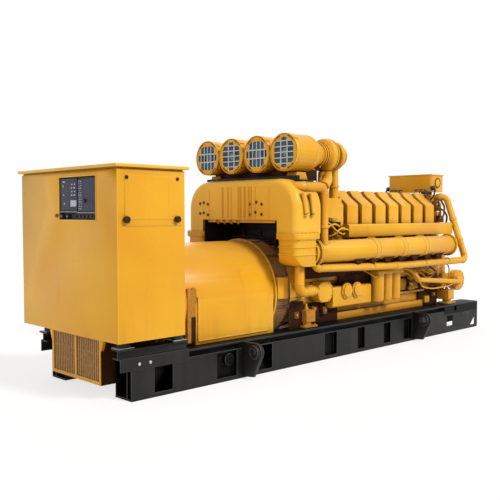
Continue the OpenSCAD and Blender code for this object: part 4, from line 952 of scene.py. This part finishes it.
def railEnds():
    # inner plates that close the ends of the rails, and a flat band round the front slot of each, in the
    # darker black that paints the shade of the rails' recesses
    low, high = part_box("right_rail")
    kit, outer = railKit, abs(low.y)
    band = (outer + kit["bandOut"][0], outer + kit["bandOut"][1])
    startX, endX, bottom, top = railSlots["band"]
    slotX0, slotX1, slotBottom = railSlots["spans"][1][:3]
    plates = bmesh.new()
    for side in (-1, 1):
        sideBox(plates, side, (low.x + kit["rear"][0], low.x + kit["rear"][1]), kit["inner"],
                (kit["rearInset"], high.z - kit["rearInset"]))
        for span in ((startX, slotX0), (slotX1, endX)):
            sideBox(plates, side, span, band, (bottom, top))
        sideBox(plates, side, (slotX0, slotX1), band, (bottom, slotBottom))
        sideBox(plates, side, (high.x - kit["front"][0], high.x - kit["front"][1]), kit["inner"],
                kit["frontZ"])
    finishPiece("railEnds", plates, "recessShadeBlack")


beamKit = {"count": 5, "width": 0.180, "flange": 0.020, "web": 0.016, "railWeb": 0.082}


def beamEnds():
    # short lengths that carry each cross beam on to the webs of the rails
    low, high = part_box("cross_beams")
    kit, half, flange = beamKit, beamKit["width"] / 2, beamKit["flange"]
    span = (high.y - 0.004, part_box("left_rail")[1].y - kit["railWeb"])
    ends = bmesh.new()
    for i in range(kit["count"]):
        x = low.x + half + i * (high.x - low.x - 2 * half) / (kit["count"] - 1)
        for side in (-1, 1):
            sideBox(ends, side, (x - half, x + half), span, (low.z, low.z + flange), 0.002)
            sideBox(ends, side, (x - half, x + half), span, (high.z - flange, high.z), 0.002)
            sideBox(ends, side, (x - kit["web"] / 2, x + kit["web"] / 2), span,
                    (low.z + flange - 0.002, high.z - flange + 0.002))
    finishPiece("beamEnds", ends, "skidBlack")


padKit = {"x": (-3.300, -2.670), "y": 0.682, "plateZ": 0.512, "plate": (0.084, 0.066, 0.006), "top": 0.568,
          "radii": (0.058, 0.052), "collarRise": 0.026}


def isolatorPads():
    # rubber mounts on steel plates, under the cabinet's corners
    kit, plates, rubber = padKit, bmesh.new(), bmesh.new()
    wide, deep, thick = kit["plate"]
    for x, y, z in bothSides([(x, kit["y"], kit["plateZ"]) for x in kit["x"]]):
        addBox(plates, (x - wide, y - deep, z), (x + wide, y + deep, z + thick), 0.002)
        addRod(rubber, (x, y, z + thick), (x, y, kit["top"]), *kit["radii"], sides=32)
        addHoop(rubber, (x, y, z + kit["collarRise"]), (0, 0, 1), 0.05, 0.012, 0.012, sides=32)
    finishPiece("isolatorPlates", plates, "zincSteel")
    finishPiece("isolatorRubber", rubber, "rubber")


railEnds()
beamEnds()
isolatorPads()
print("mounts detailed")


# air cleaners
cleanerBoxes = [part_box("air_cleaner_%d" % number) for number in range(1, 5)]
cleanerAxes = [Vector((0, (low.y + high.y) / 2, (low.z + high.z) / 2)) for low, high in cleanerBoxes]
cleanerKit = {"pleats": 54, "outer": 0.176, "inner": 0.052, "depth": 0.016, "recess": 0.030,
              "hub": (0.056, 0.046), "bands": (0.2105, 0.1365), "latches": 4, "latchOut": 0.2185,
              "tabUnder": 0.145}


def pleatedFronts():
    # each filter's face is a ring of folded paper round a hub
    kit, count = cleanerKit, cleanerKit["pleats"] * 2
    pleats, hubs = bmesh.new(), bmesh.new()
    for box, axis in zip(cleanerBoxes, cleanerAxes):
        centre = axis + Vector((box[0].x + kit["recess"], 0, 0))
        inner, outer = [], []
        for i in range(count):
            turn = Matrix.Rotation(math.tau * i / count, 3, "X")
            push = Vector((-kit["depth"] if i % 2 else 0, 0, 0))
            inner.append(pleats.verts.new(centre + push * 0.5 + turn @ Vector((0, 0, kit["inner"]))))
            outer.append(pleats.verts.new(centre + push + turn @ Vector((0, 0, kit["outer"]))))
        pairs = [(loop[i], loop[(i + 1) % count]) for loop in (inner, outer) for i in range(count)]
        made = bmesh.ops.bridge_loops(pleats, edges=[pleats.edges.new(pair) for pair in pairs])
        bmesh.ops.solidify(pleats, geom=made["faces"], thickness=0.003)
        addRod(hubs, centre + Vector((0.004, 0, 0)), centre - Vector((0.012, 0, 0)), *kit["hub"], edge=0.004)
    finishPiece("filterPleats", pleats, "filterBlue", sharpFrom=20)
    finishPiece("filterHubs", hubs, "filterBlue")


def cleanerFittings():
    # bands round both ends, latches round the rim and a tab under the neck
    kit, bands, latches = cleanerKit, bmesh.new(), bmesh.new()
    for (low, high), axis in zip(cleanerBoxes, cleanerAxes):
        neck = high.x - 0.034
        for x, radius in zip((low.x + 0.007, neck), kit["bands"]):
            addHoop(bands, axis + Vector((x, 0, 0)), (1, 0, 0), radius, 0.0055, 0.014)
        for i in range(kit["latches"]):
            turn = Matrix.Translation(axis) @ Matrix.Rotation(math.tau * (i + 0.5) / kit["latches"], 4, "X")
            placedPlate(latches, turn, (low.x + 0.010, low.x + 0.060), (-0.011, 0.011),
                        (kit["latchOut"] - 0.0045, kit["latchOut"] + 0.0045))
            start, end = [turn @ Vector((low.x + 0.06, y, kit["latchOut"] + 0.0025)) for y in (0.014, -0.014)]
            addRod(latches, start, end, 0.005, sides=12)
        addBlock(latches, axis + Vector((neck, -0.035, -kit["tabUnder"])), (0.012, 0.015, 0.009))
    finishPiece("cleanerBands", bands, "wearAndHighlightYellow")
    finishPiece("cleanerLatches", latches, "castYellow")


guardKit = {"rim": 0.202, "slotOut": 0.198, "slotIn": 0.186, "window": 0.171, "wide": 0.099, "tall": 0.064,
            "barWide": 0.0085, "barTall": 0.0065, "barReach": 0.168, "slotTurns": (33, 147, 213, 327),
            "slotHalf": 15, "thick": 0.008, "cornerY": 0.118, "cornerZ": 0.152, "sideY": 0.180,
            "sideZ": 0.085, "uprightX": (0.0015, 0.0065), "rowX": (0.001, 0.006), "cornerX": (0.0008, 0.0068)}


def addSector(bm, centre, inner, outer, start, end, thick, steps=10):
    # flat plate between two radii and two angles round X, facing the cabinet
    loops = []
    for x in (0, thick):
        for radius in (inner, outer):
            turns = [math.radians(start + (end - start) * i / steps) for i in range(steps + 1)]
            loops.append([bm.verts.new(centre + Vector((x, radius * math.sin(t), radius * math.cos(t))))
                          for t in turns])
    nearIn, nearOut, farIn, farOut = loops
    for i in range(steps):
        bm.faces.new((nearIn[i], nearIn[i + 1], nearOut[i + 1], nearOut[i]))
        bm.faces.new((farIn[i], farOut[i], farOut[i + 1], farIn[i + 1]))
        bm.faces.new((nearOut[i], nearOut[i + 1], farOut[i + 1], farOut[i]))
        bm.faces.new((nearIn[i], farIn[i], farIn[i + 1], nearIn[i + 1]))
    for i in (0, steps):
        bm.faces.new((nearIn[i], nearOut[i], farOut[i], farIn[i]))


def cleanerGuards():
    # round rims with slots, and bars that stand the other way on every second cleaner
    kit = guardKit
    rims, bars = bmesh.new(), bmesh.new()
    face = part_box("cleaner_guards")[0].x
    turns = [-kit["slotTurns"][0]] + list(kit["slotTurns"])
    for i, axis in enumerate(cleanerAxes):
        centre = axis + Vector((face, 0, 0))
        middle = centre + Vector((kit["thick"] / 2, 0, 0))
        addHoop(rims, middle, (1, 0, 0), kit["slotOut"], kit["rim"] - kit["slotOut"], kit["thick"], sides=72)
        addHoop(rims, middle, (1, 0, 0), kit["window"], kit["slotIn"] - kit["window"], kit["thick"], sides=72)
        for before, after in zip(turns, turns[1:]):
            addSector(rims, centre, kit["slotIn"], kit["slotOut"], before + kit["slotHalf"],
                      after - kit["slotHalf"], kit["thick"])
        place = Matrix.Translation(centre) @ Matrix.Rotation(math.radians(90 * (i % 2)), 4, "X")
        for y in (-kit["wide"] / 2, kit["wide"] / 2):
            placedPlate(bars, place, kit["uprightX"], (y - kit["barWide"], y + kit["barWide"]),
                        (-kit["barReach"], kit["barReach"]))
        for row in range(-2, 3):
            z = row * kit["tall"]
            half = math.sqrt(kit["window"] ** 2 - z ** 2)
            placedPlate(bars, place, kit["rowX"], (-half, half), (z - kit["barTall"], z + kit["barTall"]))
        for sideY in (-1, 1):
            for sideZ in (-1, 1):
                placedPlate(rims, place, kit["cornerX"], (sideY * kit["wide"] / 2, sideY * kit["cornerY"]),
                            (sideZ * kit["tall"] * 2, sideZ * kit["cornerZ"]))
            placedPlate(rims, place, kit["cornerX"], (sideY * kit["wide"] * 1.5, sideY * kit["sideY"]),
                        (-kit["sideZ"], kit["sideZ"]))
    piece = finishPiece("guardRims", rims, "sheetYellow")
    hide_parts("cleaner_guards")
    finishPiece("guardBars", bars, "guardPale")


shelfKit = {"half": 0.80, "thick": 0.026, "lipX": 0.008, "lipTop": 0.072, "frameHalf": 0.70,
            "frameX": (0.06, 0.175), "frameZ": (0.024, 0.150), "footBase": (-0.985, -0.770),
            "footCap": (-0.950, -0.805), "footHalf": 0.075, "footTop": 0.112}


def cleanerShelf():
    # black shelf on the cooler, with a frame in dark brown as painted shade, and a yellow foot for each of the
    # outer cleaners
    low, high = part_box("cleaner_tray")
    kit, half = shelfKit, shelfKit["half"]
    shelf, frameBox, feet = bmesh.new(), bmesh.new(), bmesh.new()
    addBox(shelf, (low.x, -half, low.z), (high.x, half, low.z + kit["thick"]), 0.0025)
    addBox(shelf, (low.x, -half, low.z + 0.020), (low.x + kit["lipX"], half, low.z + kit["lipTop"]), 0.0025)
    addBox(frameBox, (low.x + kit["frameX"][0], -kit["frameHalf"], low.z + kit["frameZ"][0]),
           (high.x + kit["frameX"][1], kit["frameHalf"], low.z + kit["frameZ"][1]), 0.003)
    for y in (cleanerAxes[0].y, cleanerAxes[-1].y):
        levels = ((kit["footBase"], kit["thick"]), (kit["footCap"], kit["footTop"]))
        corners = [(x, y + out, low.z + z) for ends, z in levels for x in ends
                   for out in (-kit["footHalf"], kit["footHalf"])]
        bmesh.ops.convex_hull(feet, input=[feet.verts.new(corner) for corner in corners])
    piece = finishPiece("cleanerShelf", shelf, "skidBlack")
    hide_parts("cleaner_tray")
    finishPiece("shelfFrame", frameBox, "deepShadeBrown")
    finishPiece("shelfFeet", feet, "wearAndHighlightYellow")


pleatedFronts()
cleanerGuards()
cleanerFittings()
cleanerShelf()
print("air cleaners detailed")


# clamps, flanges and small pipes
clampKit = {"joints": (1.040, 1.645, 2.160), "steps": (0.018, 0.092), "radius": 0.1405,
            "latch": (0.010, 0.012, 0.008), "latchRise": 0.148, "boltRise": 0.149, "boltReach": 0.034}


def plenumClamps():
    # two bands at each sleeve of the plenums, each with a latch and its bolt
    kit, clamps = clampKit, bmesh.new()
    rear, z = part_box("right_intake_plenum")[0].x, plenumAxis["z"]
    for x in [rear + joint + step for joint in kit["joints"] for step in kit["steps"]]:
        for y in (-plenumAxis["y"], plenumAxis["y"]):
            addHoop(clamps, (x, y, z), (1, 0, 0), kit["radius"], 0.004, 0.016, sides=48)
            addBlock(clamps, (x, y, z + kit["latchRise"]), kit["latch"], 0.003)
            start, end = [(x, y + out, z + kit["boltRise"]) for out in (-kit["boltReach"], kit["boltReach"])]
            addRod(clamps, start, end, 0.0045, sides=10)
    finishPiece("plenumClamps", clamps, "wearAndHighlightYellow")


gapKit = {"first": -0.05, "count": 7, "length": 0.215, "foot": (0.035, 0.085), "y": (0.800, 0.892),
          "z": (1.140, 1.206)}


def runnerGapShade():
    # dark solids that paint the shade in the gaps between the intake runners, under each plenum
    kit, gaps = gapKit, bmesh.new()
    low, high = kit["z"]
    for i in range(kit["count"]):
        start = kit["first"] + i * pitch
        profile = [(start, high), (start + kit["length"], high)] + [(start + x, low) for x in kit["foot"]]
        for side in (-1, 1):
            corners = onSide([(x, y, z) for x, z in profile for y in kit["y"]], side)
            bmesh.ops.convex_hull(gaps, input=[gaps.verts.new(corner) for corner in corners])
    finishPiece("runnerGapShade", gaps, "deepShadeBrown")


turboKit = {"clamps": ((-0.452, 0.143), (-0.340, 0.192), (-0.098, 0.112)), "boltX": -0.372,
            "boltRadius": 0.178, "drain": 0.016, "elbow": 0.066, "feed": 0.008}


def turboClamps():
    # clamps and bolts round each turbocharger, its oil pipes, and the outer ones' air elbows
    kit, clamps, lines = turboKit, bmesh.new(), bmesh.new()
    for axis in cleanerAxes:
        y, z = axis.y, axis.z
        for x, radius in kit["clamps"]:
            addHoop(clamps, (x, y, z), (1, 0, 0), radius, 0.009, 0.016, sides=48)
        addTube(lines, [(-0.29, y, z - 0.09), (-0.29, y, z - 0.26), (-0.33, y * 0.92, z - 0.42),
                        (-0.33, y * 0.92, 1.99)], kit["drain"], 0.06)
        if abs(y) > 0.5:
            outward = math.copysign(1, y)
            addTube(lines, [(-0.33, y, z - 0.10), (-0.34, y, z - 0.20), (-0.42, y + 0.08 * outward, z - 0.30),
                            (-0.60, y + 0.17 * outward, z - 0.385)], kit["elbow"], 0.12, smoothness=5)
        addTube(lines, [(-0.275, y, z + 0.085), (-0.275, y, z + 0.15), (-0.275, y + 0.12, z + 0.15),
                        (-0.275, y + 0.215, z + 0.02), (-0.275, y + 0.215, z - 0.4)], kit["feed"], 0.05)
        for place in ringOf((kit["boltX"], y, z), (1, 0, 0), kit["boltRadius"], 12):
            addBolt(clamps, place, (-1, 0, 0), 0.007)
    finishPiece("turboClamps", clamps, "castYellow", outward=False)
    finishPiece("turboOilLines", lines, "castYellow")


# pipes as paths
pipeKit = {
    "thin": [
        [(0.86, 0.70, 0.98), (0.90, 0.735, 1.02), (1.147, 0.735, 1.01), (1.375, 0.735, 0.99),
         (1.53, 0.735, 0.90), (1.70, 0.735, 0.72), (1.95, 0.735, 0.685), (2.37, 0.735, 0.69),
         (2.62, 0.70, 0.72)],
        [(0.50, 0.60, 1.02), (0.53, 0.70, 0.97), (0.59, 0.72, 0.93), (0.69, 0.70, 0.955)],
        [(2.46, 0.62, 1.04), (2.46, 0.70, 0.98), (2.46, 0.70, 0.80), (2.50, 0.64, 0.72)],
        [(1.30, 0.60, 0.96), (1.42, 0.66, 0.93), (1.60, 0.66, 0.86), (1.90, 0.64, 0.80),
         (2.20, 0.60, 0.86)],
        [(1.75, 0.56, 1.00), (1.80, 0.66, 0.95), (2.05, 0.66, 0.88), (2.30, 0.62, 0.93),
         (2.44, 0.58, 0.93)]],
    "cluster": [
        [(-0.46, 0.62, 1.52), (-0.40, 0.72, 1.60), (-0.26, 0.73, 1.64), (-0.12, 0.70, 1.60),
         (-0.06, 0.60, 1.60)],
        [(-0.44, 0.60, 1.66), (-0.34, 0.70, 1.66), (-0.22, 0.72, 1.55), (-0.08, 0.72, 1.50),
         (0.02, 0.66, 1.52)],
        [(-0.30, 0.60, 1.47), (-0.24, 0.70, 1.50), (-0.14, 0.72, 1.58), (0.05, 0.70, 1.56),
         (0.10, 0.62, 1.54)]],
    "valves": ((-0.36, 0.66, 1.60), (-0.20, 0.68, 1.53), (-0.04, 0.66, 1.57), (-0.28, 0.64, 1.70)),
    "thinRadius": 0.010, "clusterRadius": 0.012,
    "couplings": ((0.35, 1.108), (0.95, 1.08), (1.55, 1.08), (2.15, 1.08)),
    "foot": ((0.08, 2.06), (0.470, 0.506), (0.404, 0.500))}


def enginePipes():
    # thin pipes of the block, and the fuel and breather fittings behind the first cylinder of each bank
    kit, lines, fittings = pipeKit, bmesh.new(), bmesh.new()
    for points in kit["thin"]:
        addTube(lines, onSide(points, -1), kit["thinRadius"], 0.06)
        for x, y, z in (points[0], points[-1]):
            addRod(fittings, (x, -y + 0.02, z), (x, -y - 0.016, z), 0.019, sides=6)
    for points in kit["thin"][1:3]:
        addTube(lines, points, kit["thinRadius"], 0.06)
    for side in (-1, 1):
        for points in kit["cluster"]:
            addTube(lines, onSide(points, side), kit["clusterRadius"], 0.05)
        for x, y, z in kit["valves"]:
            addBlock(fittings, (x, side * y, z), (0.035, 0.03, 0.025), 0.006)
            addBolt(fittings, (x, side * (y + 0.03), z), (0, side, 0), 0.014)
        sideBox(fittings, side, *kit["foot"], 0.006)
        for x, z in kit["couplings"]:
            addHoop(fittings, (x, side * 0.85, z), (1, 0, 0), 0.047, 0.006, 0.02, sides=32)
    finishPiece("engineLines", lines, "castYellow")
    finishPiece("engineFittings", fittings, "castYellow", outward=False)


# spans along x, y and z
shadePlateKit = {"valvePlate": ((-0.44, 0.02), (0.580, 0.600), (1.49, 1.66)),
             "oilCoolerPlate": ((0.05, 0.80), (0.546, 0.556), (0.80, 1.04)),
             "sidePlates": (((0.05, 2.42), (0.590, 0.600), (1.00, 1.25)),
                            ((-0.70, 0.06), (0.644, 0.652), (0.985, 1.165)),
                            ((0.78, 2.50), (0.476, 0.482), (0.62, 0.96)),
                            ((1.98, 2.48), (0.480, 0.490), (0.404, 0.63)),
                            ((-0.925, -0.665), (0.579, 0.585), (0.404, 0.72)),
                            ((-0.60, 0.08), (0.497, 0.503), (0.404, 0.66)))}


def shadePlates():
    # dark brown plates that paint the shade behind the machinery, on both sides but for the one at the oil
    # cooler
    dark = bmesh.new()
    for side in (-1, 1):
        sideBox(dark, side, *shadePlateKit["valvePlate"], 0.004)
        for spans in shadePlateKit["sidePlates"]:
            sideBox(dark, side, *spans, 0.002)
    sideBox(dark, -1, *shadePlateKit["oilCoolerPlate"], 0.002)
    finishPiece("shadePlates", dark, "deepShadeBrown")


# brackets and valves as middle and half sizes, and pipes as paths
partsKit = {
    "sideBlocks": [
        ((1.66, 0.560, 0.86), (0.050, 0.030, 0.030)), ((1.80, 0.545, 0.90), (0.035, 0.035, 0.022)),
        ((1.96, 0.560, 0.83), (0.045, 0.025, 0.034)), ((2.12, 0.555, 0.885), (0.040, 0.030, 0.026)),
        ((2.28, 0.570, 0.80), (0.035, 0.035, 0.045)), ((1.72, 0.525, 0.70), (0.060, 0.022, 0.026)),
        ((2.02, 0.530, 0.715), (0.035, 0.022, 0.030)), ((2.36, 0.560, 0.66), (0.050, 0.030, 0.030)),
        ((-0.42, 0.530, 0.60), (0.050, 0.026, 0.030)), ((-0.22, 0.530, 0.56), (0.040, 0.026, 0.045)),
        ((-0.05, 0.535, 0.61), (0.035, 0.030, 0.030)), ((-0.80, 0.585, 0.56), (0.040, 0.022, 0.040)),
        ((2.14, 0.510, 0.50), (0.060, 0.024, 0.050)), ((2.32, 0.515, 0.56), (0.040, 0.024, 0.030))],
    "frontBlocks": [
        ((2.44, 0.455, 1.90), (0.030, 0.040, 0.050)), ((2.47, 0.470, 1.76), (0.035, 0.035, 0.030)),
        ((2.45, 0.450, 1.62), (0.040, 0.045, 0.040)), ((2.56, 0.440, 1.86), (0.030, 0.040, 0.060)),
        ((2.60, 0.450, 1.68), (0.035, 0.050, 0.050))],
    "frontPipes": [
        [(2.40, 0.50, 1.58), (2.46, 0.54, 1.66), (2.50, 0.52, 1.82), (2.46, 0.50, 1.98)],
        [(2.40, 0.56, 1.68), (2.52, 0.56, 1.72), (2.62, 0.52, 1.86), (2.62, 0.44, 1.98)],
        [(2.42, 0.52, 1.86), (2.54, 0.56, 1.80), (2.66, 0.54, 1.72), (2.68, 0.50, 1.56)]],
    "sidePipes": [
        [(1.62, 0.600, 0.93), (1.78, 0.640, 0.92), (1.92, 0.640, 0.84), (2.08, 0.600, 0.80),
         (2.30, 0.600, 0.76)],
        [(1.62, 0.560, 0.80), (1.76, 0.600, 0.79), (1.94, 0.600, 0.76), (2.20, 0.580, 0.70),
         (2.42, 0.600, 0.72)],
        [(1.88, 0.540, 0.98), (1.90, 0.620, 0.92), (1.90, 0.620, 0.76), (1.96, 0.560, 0.70)],
        [(2.18, 0.540, 0.98), (2.20, 0.640, 0.92), (2.22, 0.640, 0.82), (2.40, 0.620, 0.80)]],
    "frontRadius": 0.015, "sideRadius": 0.014}


def smallParts():
    # brackets, valves and pipe ends round the filters and between the last cylinder and the front pipe, some
    # in dull brown as painted shade
    kit, boxes, lines, shadeBrowns = partsKit, bmesh.new(), bmesh.new(), bmesh.new()
    for i, ((x, y, z), half) in enumerate(kit["sideBlocks"]):
        addBlock(shadeBrowns if i % 3 == 1 or x < 0 else boxes, (x, -y, z), half, 0.006)
        addBolt(boxes, (x, -y - half[1], z), (0, -1, 0), 0.012)
    for side in (-1, 1):
        for i, ((x, y, z), half) in enumerate(kit["frontBlocks"]):
            addBlock((shadeBrowns, boxes)[i % 2], (x, side * y, z), half, 0.008)
            addBolt(boxes, (x, side * (y + half[1]), z), (0, side, 0), 0.014)
        for points in kit["frontPipes"]:
            addTube(shadeBrowns, onSide(points, side), kit["frontRadius"], 0.06)
    for i, points in enumerate(kit["sidePipes"]):
        addTube((lines, shadeBrowns)[i % 2], onSide(points, -1), kit["sideRadius"], 0.06)
    finishPiece("smallBrackets", boxes, "castYellow", outward=False)
    finishPiece("smallLines", lines, "castYellow")
    finishPiece("shadeBrownParts", shadeBrowns, "dullShadeBrown", outward=False)


wiringKit = {"y": (-0.30, -0.22, -0.14, 0.14, 0.22, 0.30), "x": 0.012, "z": 0.04, "cable": 0.008,
             "ring": (0.058, 0.018, 0.006), "boss": 0.040, "grommetX": 2.355, "grommetDrop": 0.040,
             "elbowX": 0.035, "elbowZ": 0.055, "elbow": 0.012}


def wiringConduits():
    # cables that leave the junction box through glands
    low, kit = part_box("junction_box")[0], wiringKit
    conduits, glands = bmesh.new(), bmesh.new()
    x, z = low.x + kit["x"], low.z + kit["z"]
    for y in kit["y"]:
        addTube(conduits, [(x, y, z), (x - 0.05, y, z - 0.004), (x - 0.09, y * 1.1, z - 0.08),
                           (x - 0.10, y * 1.2, z - 0.14)], kit["cable"], 0.04)
        addRod(glands, (x + 0.01, y, z), (x - 0.028, y, z), 0.015, 0.012, sides=6)
    finishPiece("wiringConduits", conduits, "rubber")
    finishPiece("wiringGlands", glands, "zincSteel")


def boxCovers():
    # a round cover on each end of the junction box, ringed in dull brown as painted shade
    low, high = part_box("junction_box")
    rings, bosses = bmesh.new(), bmesh.new()
    x, z = low.x + discPlace["x"], low.z + discPlace["z"]
    for side in (-1, 1):
        y = side * (high.y - 0.001)
        addHoop(rings, (x, y, z), (0, 1, 0), *wiringKit["ring"], sides=40)
        addRod(bosses, (x, y, z), (x, y - side * 0.004, z), wiringKit["boss"], sides=32)
    finishPiece("boxRings", rings, "dullShadeBrown")
    finishPiece("boxBosses", bosses, "wearAndHighlightYellow")


def junctionGrommets():
    # rubber sleeves under the junction box and on its ends
    low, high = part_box("junction_box")
    kit, grommets = wiringKit, bmesh.new()
    for side in (-1, 1):
        x, y, z = kit["grommetX"], side * (high.y - 0.045), low.z - kit["grommetDrop"]
        addRod(grommets, (x, y, z), (x, y, z + 0.044), 0.062, sides=32, edge=0.008)
        x, z = low.x + kit["elbowX"], low.z + kit["elbowZ"]
        start, end = onSide([(x, high.y - 0.004, z), (x, high.y + 0.040, z)], side)
        addRod(grommets, start, end, 0.034, sides=28, edge=0.004)
        path = [(x, high.y + 0.030, z), (x, high.y + 0.060, z - 0.02), (x - 0.03, high.y + 0.055, z - 0.12),
                (x - 0.04, high.y, z - 0.18)]
        addTube(grommets, onSide(path, side), kit["elbow"], 0.05)
    finishPiece("junctionGrommets", grommets, "rubber")


def thermostatHoses():
    hose = bmesh.new()
    for side in (-1, 1):
        start, end = onSide([(2.60, 0.395, 2.005), (2.635, 0.47, 2.018)], side)
        addRod(hose, start, end, 0.056, sides=32, edge=0.006)
    finishPiece("thermostatHoses", hose, "castYellow")


archKit = {"half": 0.78, "x": (-0.695, -0.681), "z": (1.28, 1.690), "shelfHalf": 0.63,
           "shelfX": (-0.716, -0.680), "shelfZ": (1.555, 1.570), "ribsY": (-0.5, -0.2, 0.1, 0.4),
           "cablesZ": (1.40, 1.43, 1.465), "cable": 0.011}


def archPanel():
    # black bracket with its cables, behind the arch of the aftercooler
    kit, panel, cables = archKit, bmesh.new(), bmesh.new()
    for half, (x0, x1), (z0, z1) in ((kit["half"], kit["x"], kit["z"]),
                                     (kit["shelfHalf"], kit["shelfX"], kit["shelfZ"])):
        addBox(panel, (x0, -half, z0), (x1, half, z1), 0.003)
    for y in kit["ribsY"]:
        addBox(panel, (-0.712, y - 0.012, 1.32), (-0.688, y + 0.012, 1.556), 0.003)
        addBolt(panel, (-0.690, y + 0.06, 1.53), (-1, 0, 0), 0.012)
    for z in kit["cablesZ"]:
        path = [(-0.72, -0.60, z), (-0.725, -0.3, z + 0.015), (-0.72, 0.0, z - 0.01), (-0.725, 0.3, z + 0.02),
                (-0.72, 0.60, z)]
        addTube(cables, path, kit["cable"], 0.15)
    finishPiece("archPanel", panel, "skidBlack", outward=False)
    finishPiece("archCables", cables, "rubber")


plenumClamps()
runnerGapShade()
turboClamps()
enginePipes()
shadePlates()
smallParts()
boxCovers()
wiringConduits()
junctionGrommets()
thermostatHoses()
archPanel()
print("pipes and clamps made")


# floor, background, lights and camera
# lamps are given as direction, strength and spread in degrees
studioKit = {"room": 0.34, "seenFloor": 0.34, "floorGlow": 0.72, "floorRadius": 60,
             "lamps": {"keyLamp": ((0.20, -0.78, 0.60), 2.25, 12),
                       "fillLamp": ((-0.85, -0.15, 0.25), 0.86, 30),
                       "backLamp": ((0.5, 0.75, 0.6), 0.5, 30)}}


def seenByEye(tree):
    # 1 for camera, glossy and transmission rays, 0 for the rays that light the set
    rays = addNode(tree, "LightPath").outputs
    seen = rays["Is Camera Ray"]
    for kind in ("Is Glossy Ray", "Is Transmission Ray"):
        either = addNode(tree, "Math", operation="MAXIMUM")
        tree.links.new(seen, either.inputs[0])
        tree.links.new(rays[kind], either.inputs[1])
        seen = either.outputs[0]
    return seen


def showByRay(tree, lit, seen, outputKind):
    # one surface lights the set, and the other is what the camera sees
    mixed = addNode(tree, "MixShader", {"Fac": seenByEye(tree)})
    tree.links.new(lit.outputs[0], mixed.inputs[1])
    tree.links.new(seen.outputs[0], mixed.inputs[2])
    output = addNode(tree, outputKind)
    tree.links.new(mixed.outputs[0], output.inputs["Surface"])


def paleFloor():
    bm = bmesh.new()
    bmesh.ops.create_circle(bm, cap_ends=True, segments=64, radius=studioKit["floorRadius"])
    mesh = bpy.data.meshes.new("studioFloor")
    bm.to_mesh(mesh)
    bm.free()
    floor = bpy.data.objects.new("studioFloor", mesh)
    scene.collection.objects.link(floor)
    material = bpy.data.materials.new("paleFloor")
    material.use_nodes = True
    tree = material.node_tree
    tree.nodes.clear()
    speck = remap(tree, noise(tree, addNode(tree, "TexCoord").outputs["Object"], 3.0, 4.0), 0.4, 0.6, 0, 0.1)
    colour = overlay(tree, speck, screenColour(222, 222, 222), screenColour(212, 212, 212))
    lit = addNode(tree, "BsdfDiffuse", {"Color": colour})
    grey = addNode(tree, "BsdfDiffuse", {"Color": (*[studioKit["seenFloor"]] * 3, 1)})
    glow = addNode(tree, "Emission", {"Color": (1, 1, 1, 1), "Strength": studioKit["floorGlow"]})
    seen = addNode(tree, "AddShader")
    tree.links.new(grey.outputs[0], seen.inputs[0])
    tree.links.new(glow.outputs[0], seen.inputs[1])
    showByRay(tree, lit, seen, "OutputMaterial")
    mesh.materials.append(material)


def paleRoom():
    world = bpy.data.worlds.new("paleRoom")
    scene.world = world
    world.use_nodes = True
    tree = world.node_tree
    tree.nodes.clear()
    dim, white = [addNode(tree, "Background", {"Color": (1, 1, 1, 1), "Strength": strength})
                  for strength in (studioKit["room"], 1.0)]
    showByRay(tree, dim, white, "OutputWorld")


def addLamps():
    for name, (toward, strength, spread) in studioKit["lamps"].items():
        lamp = bpy.data.lights.new(name, "SUN")
        lamp.energy, lamp.angle = strength, math.radians(spread)
        holder = bpy.data.objects.new(name, lamp)
        holder.rotation_mode = "QUATERNION"
        holder.rotation_quaternion = Vector(toward).to_track_quat("Z", "Y")
        scene.collection.objects.link(holder)


viewpoint = {"place": (-7.053, -6.253, 1.770), "turn": 45.868, "tilt": 2.963, "lens": 51.48, "sensor": 36,
             "clip": (0.1, 300)}


def addCamera():
    camera = bpy.data.cameras.new("viewCamera")
    camera.lens, camera.sensor_width = viewpoint["lens"], viewpoint["sensor"]
    camera.clip_start, camera.clip_end = viewpoint["clip"]
    holder = bpy.data.objects.new("viewCamera", camera)
    holder.location = viewpoint["place"]
    holder.rotation_euler = (math.radians(90 - viewpoint["tilt"]), 0, math.radians(viewpoint["turn"] - 90))
    scene.collection.objects.link(holder)
    scene.camera = holder


paleFloor()
paleRoom()
addLamps()
addCamera()
scene.view_settings.view_transform = "Standard"
print("studio made")
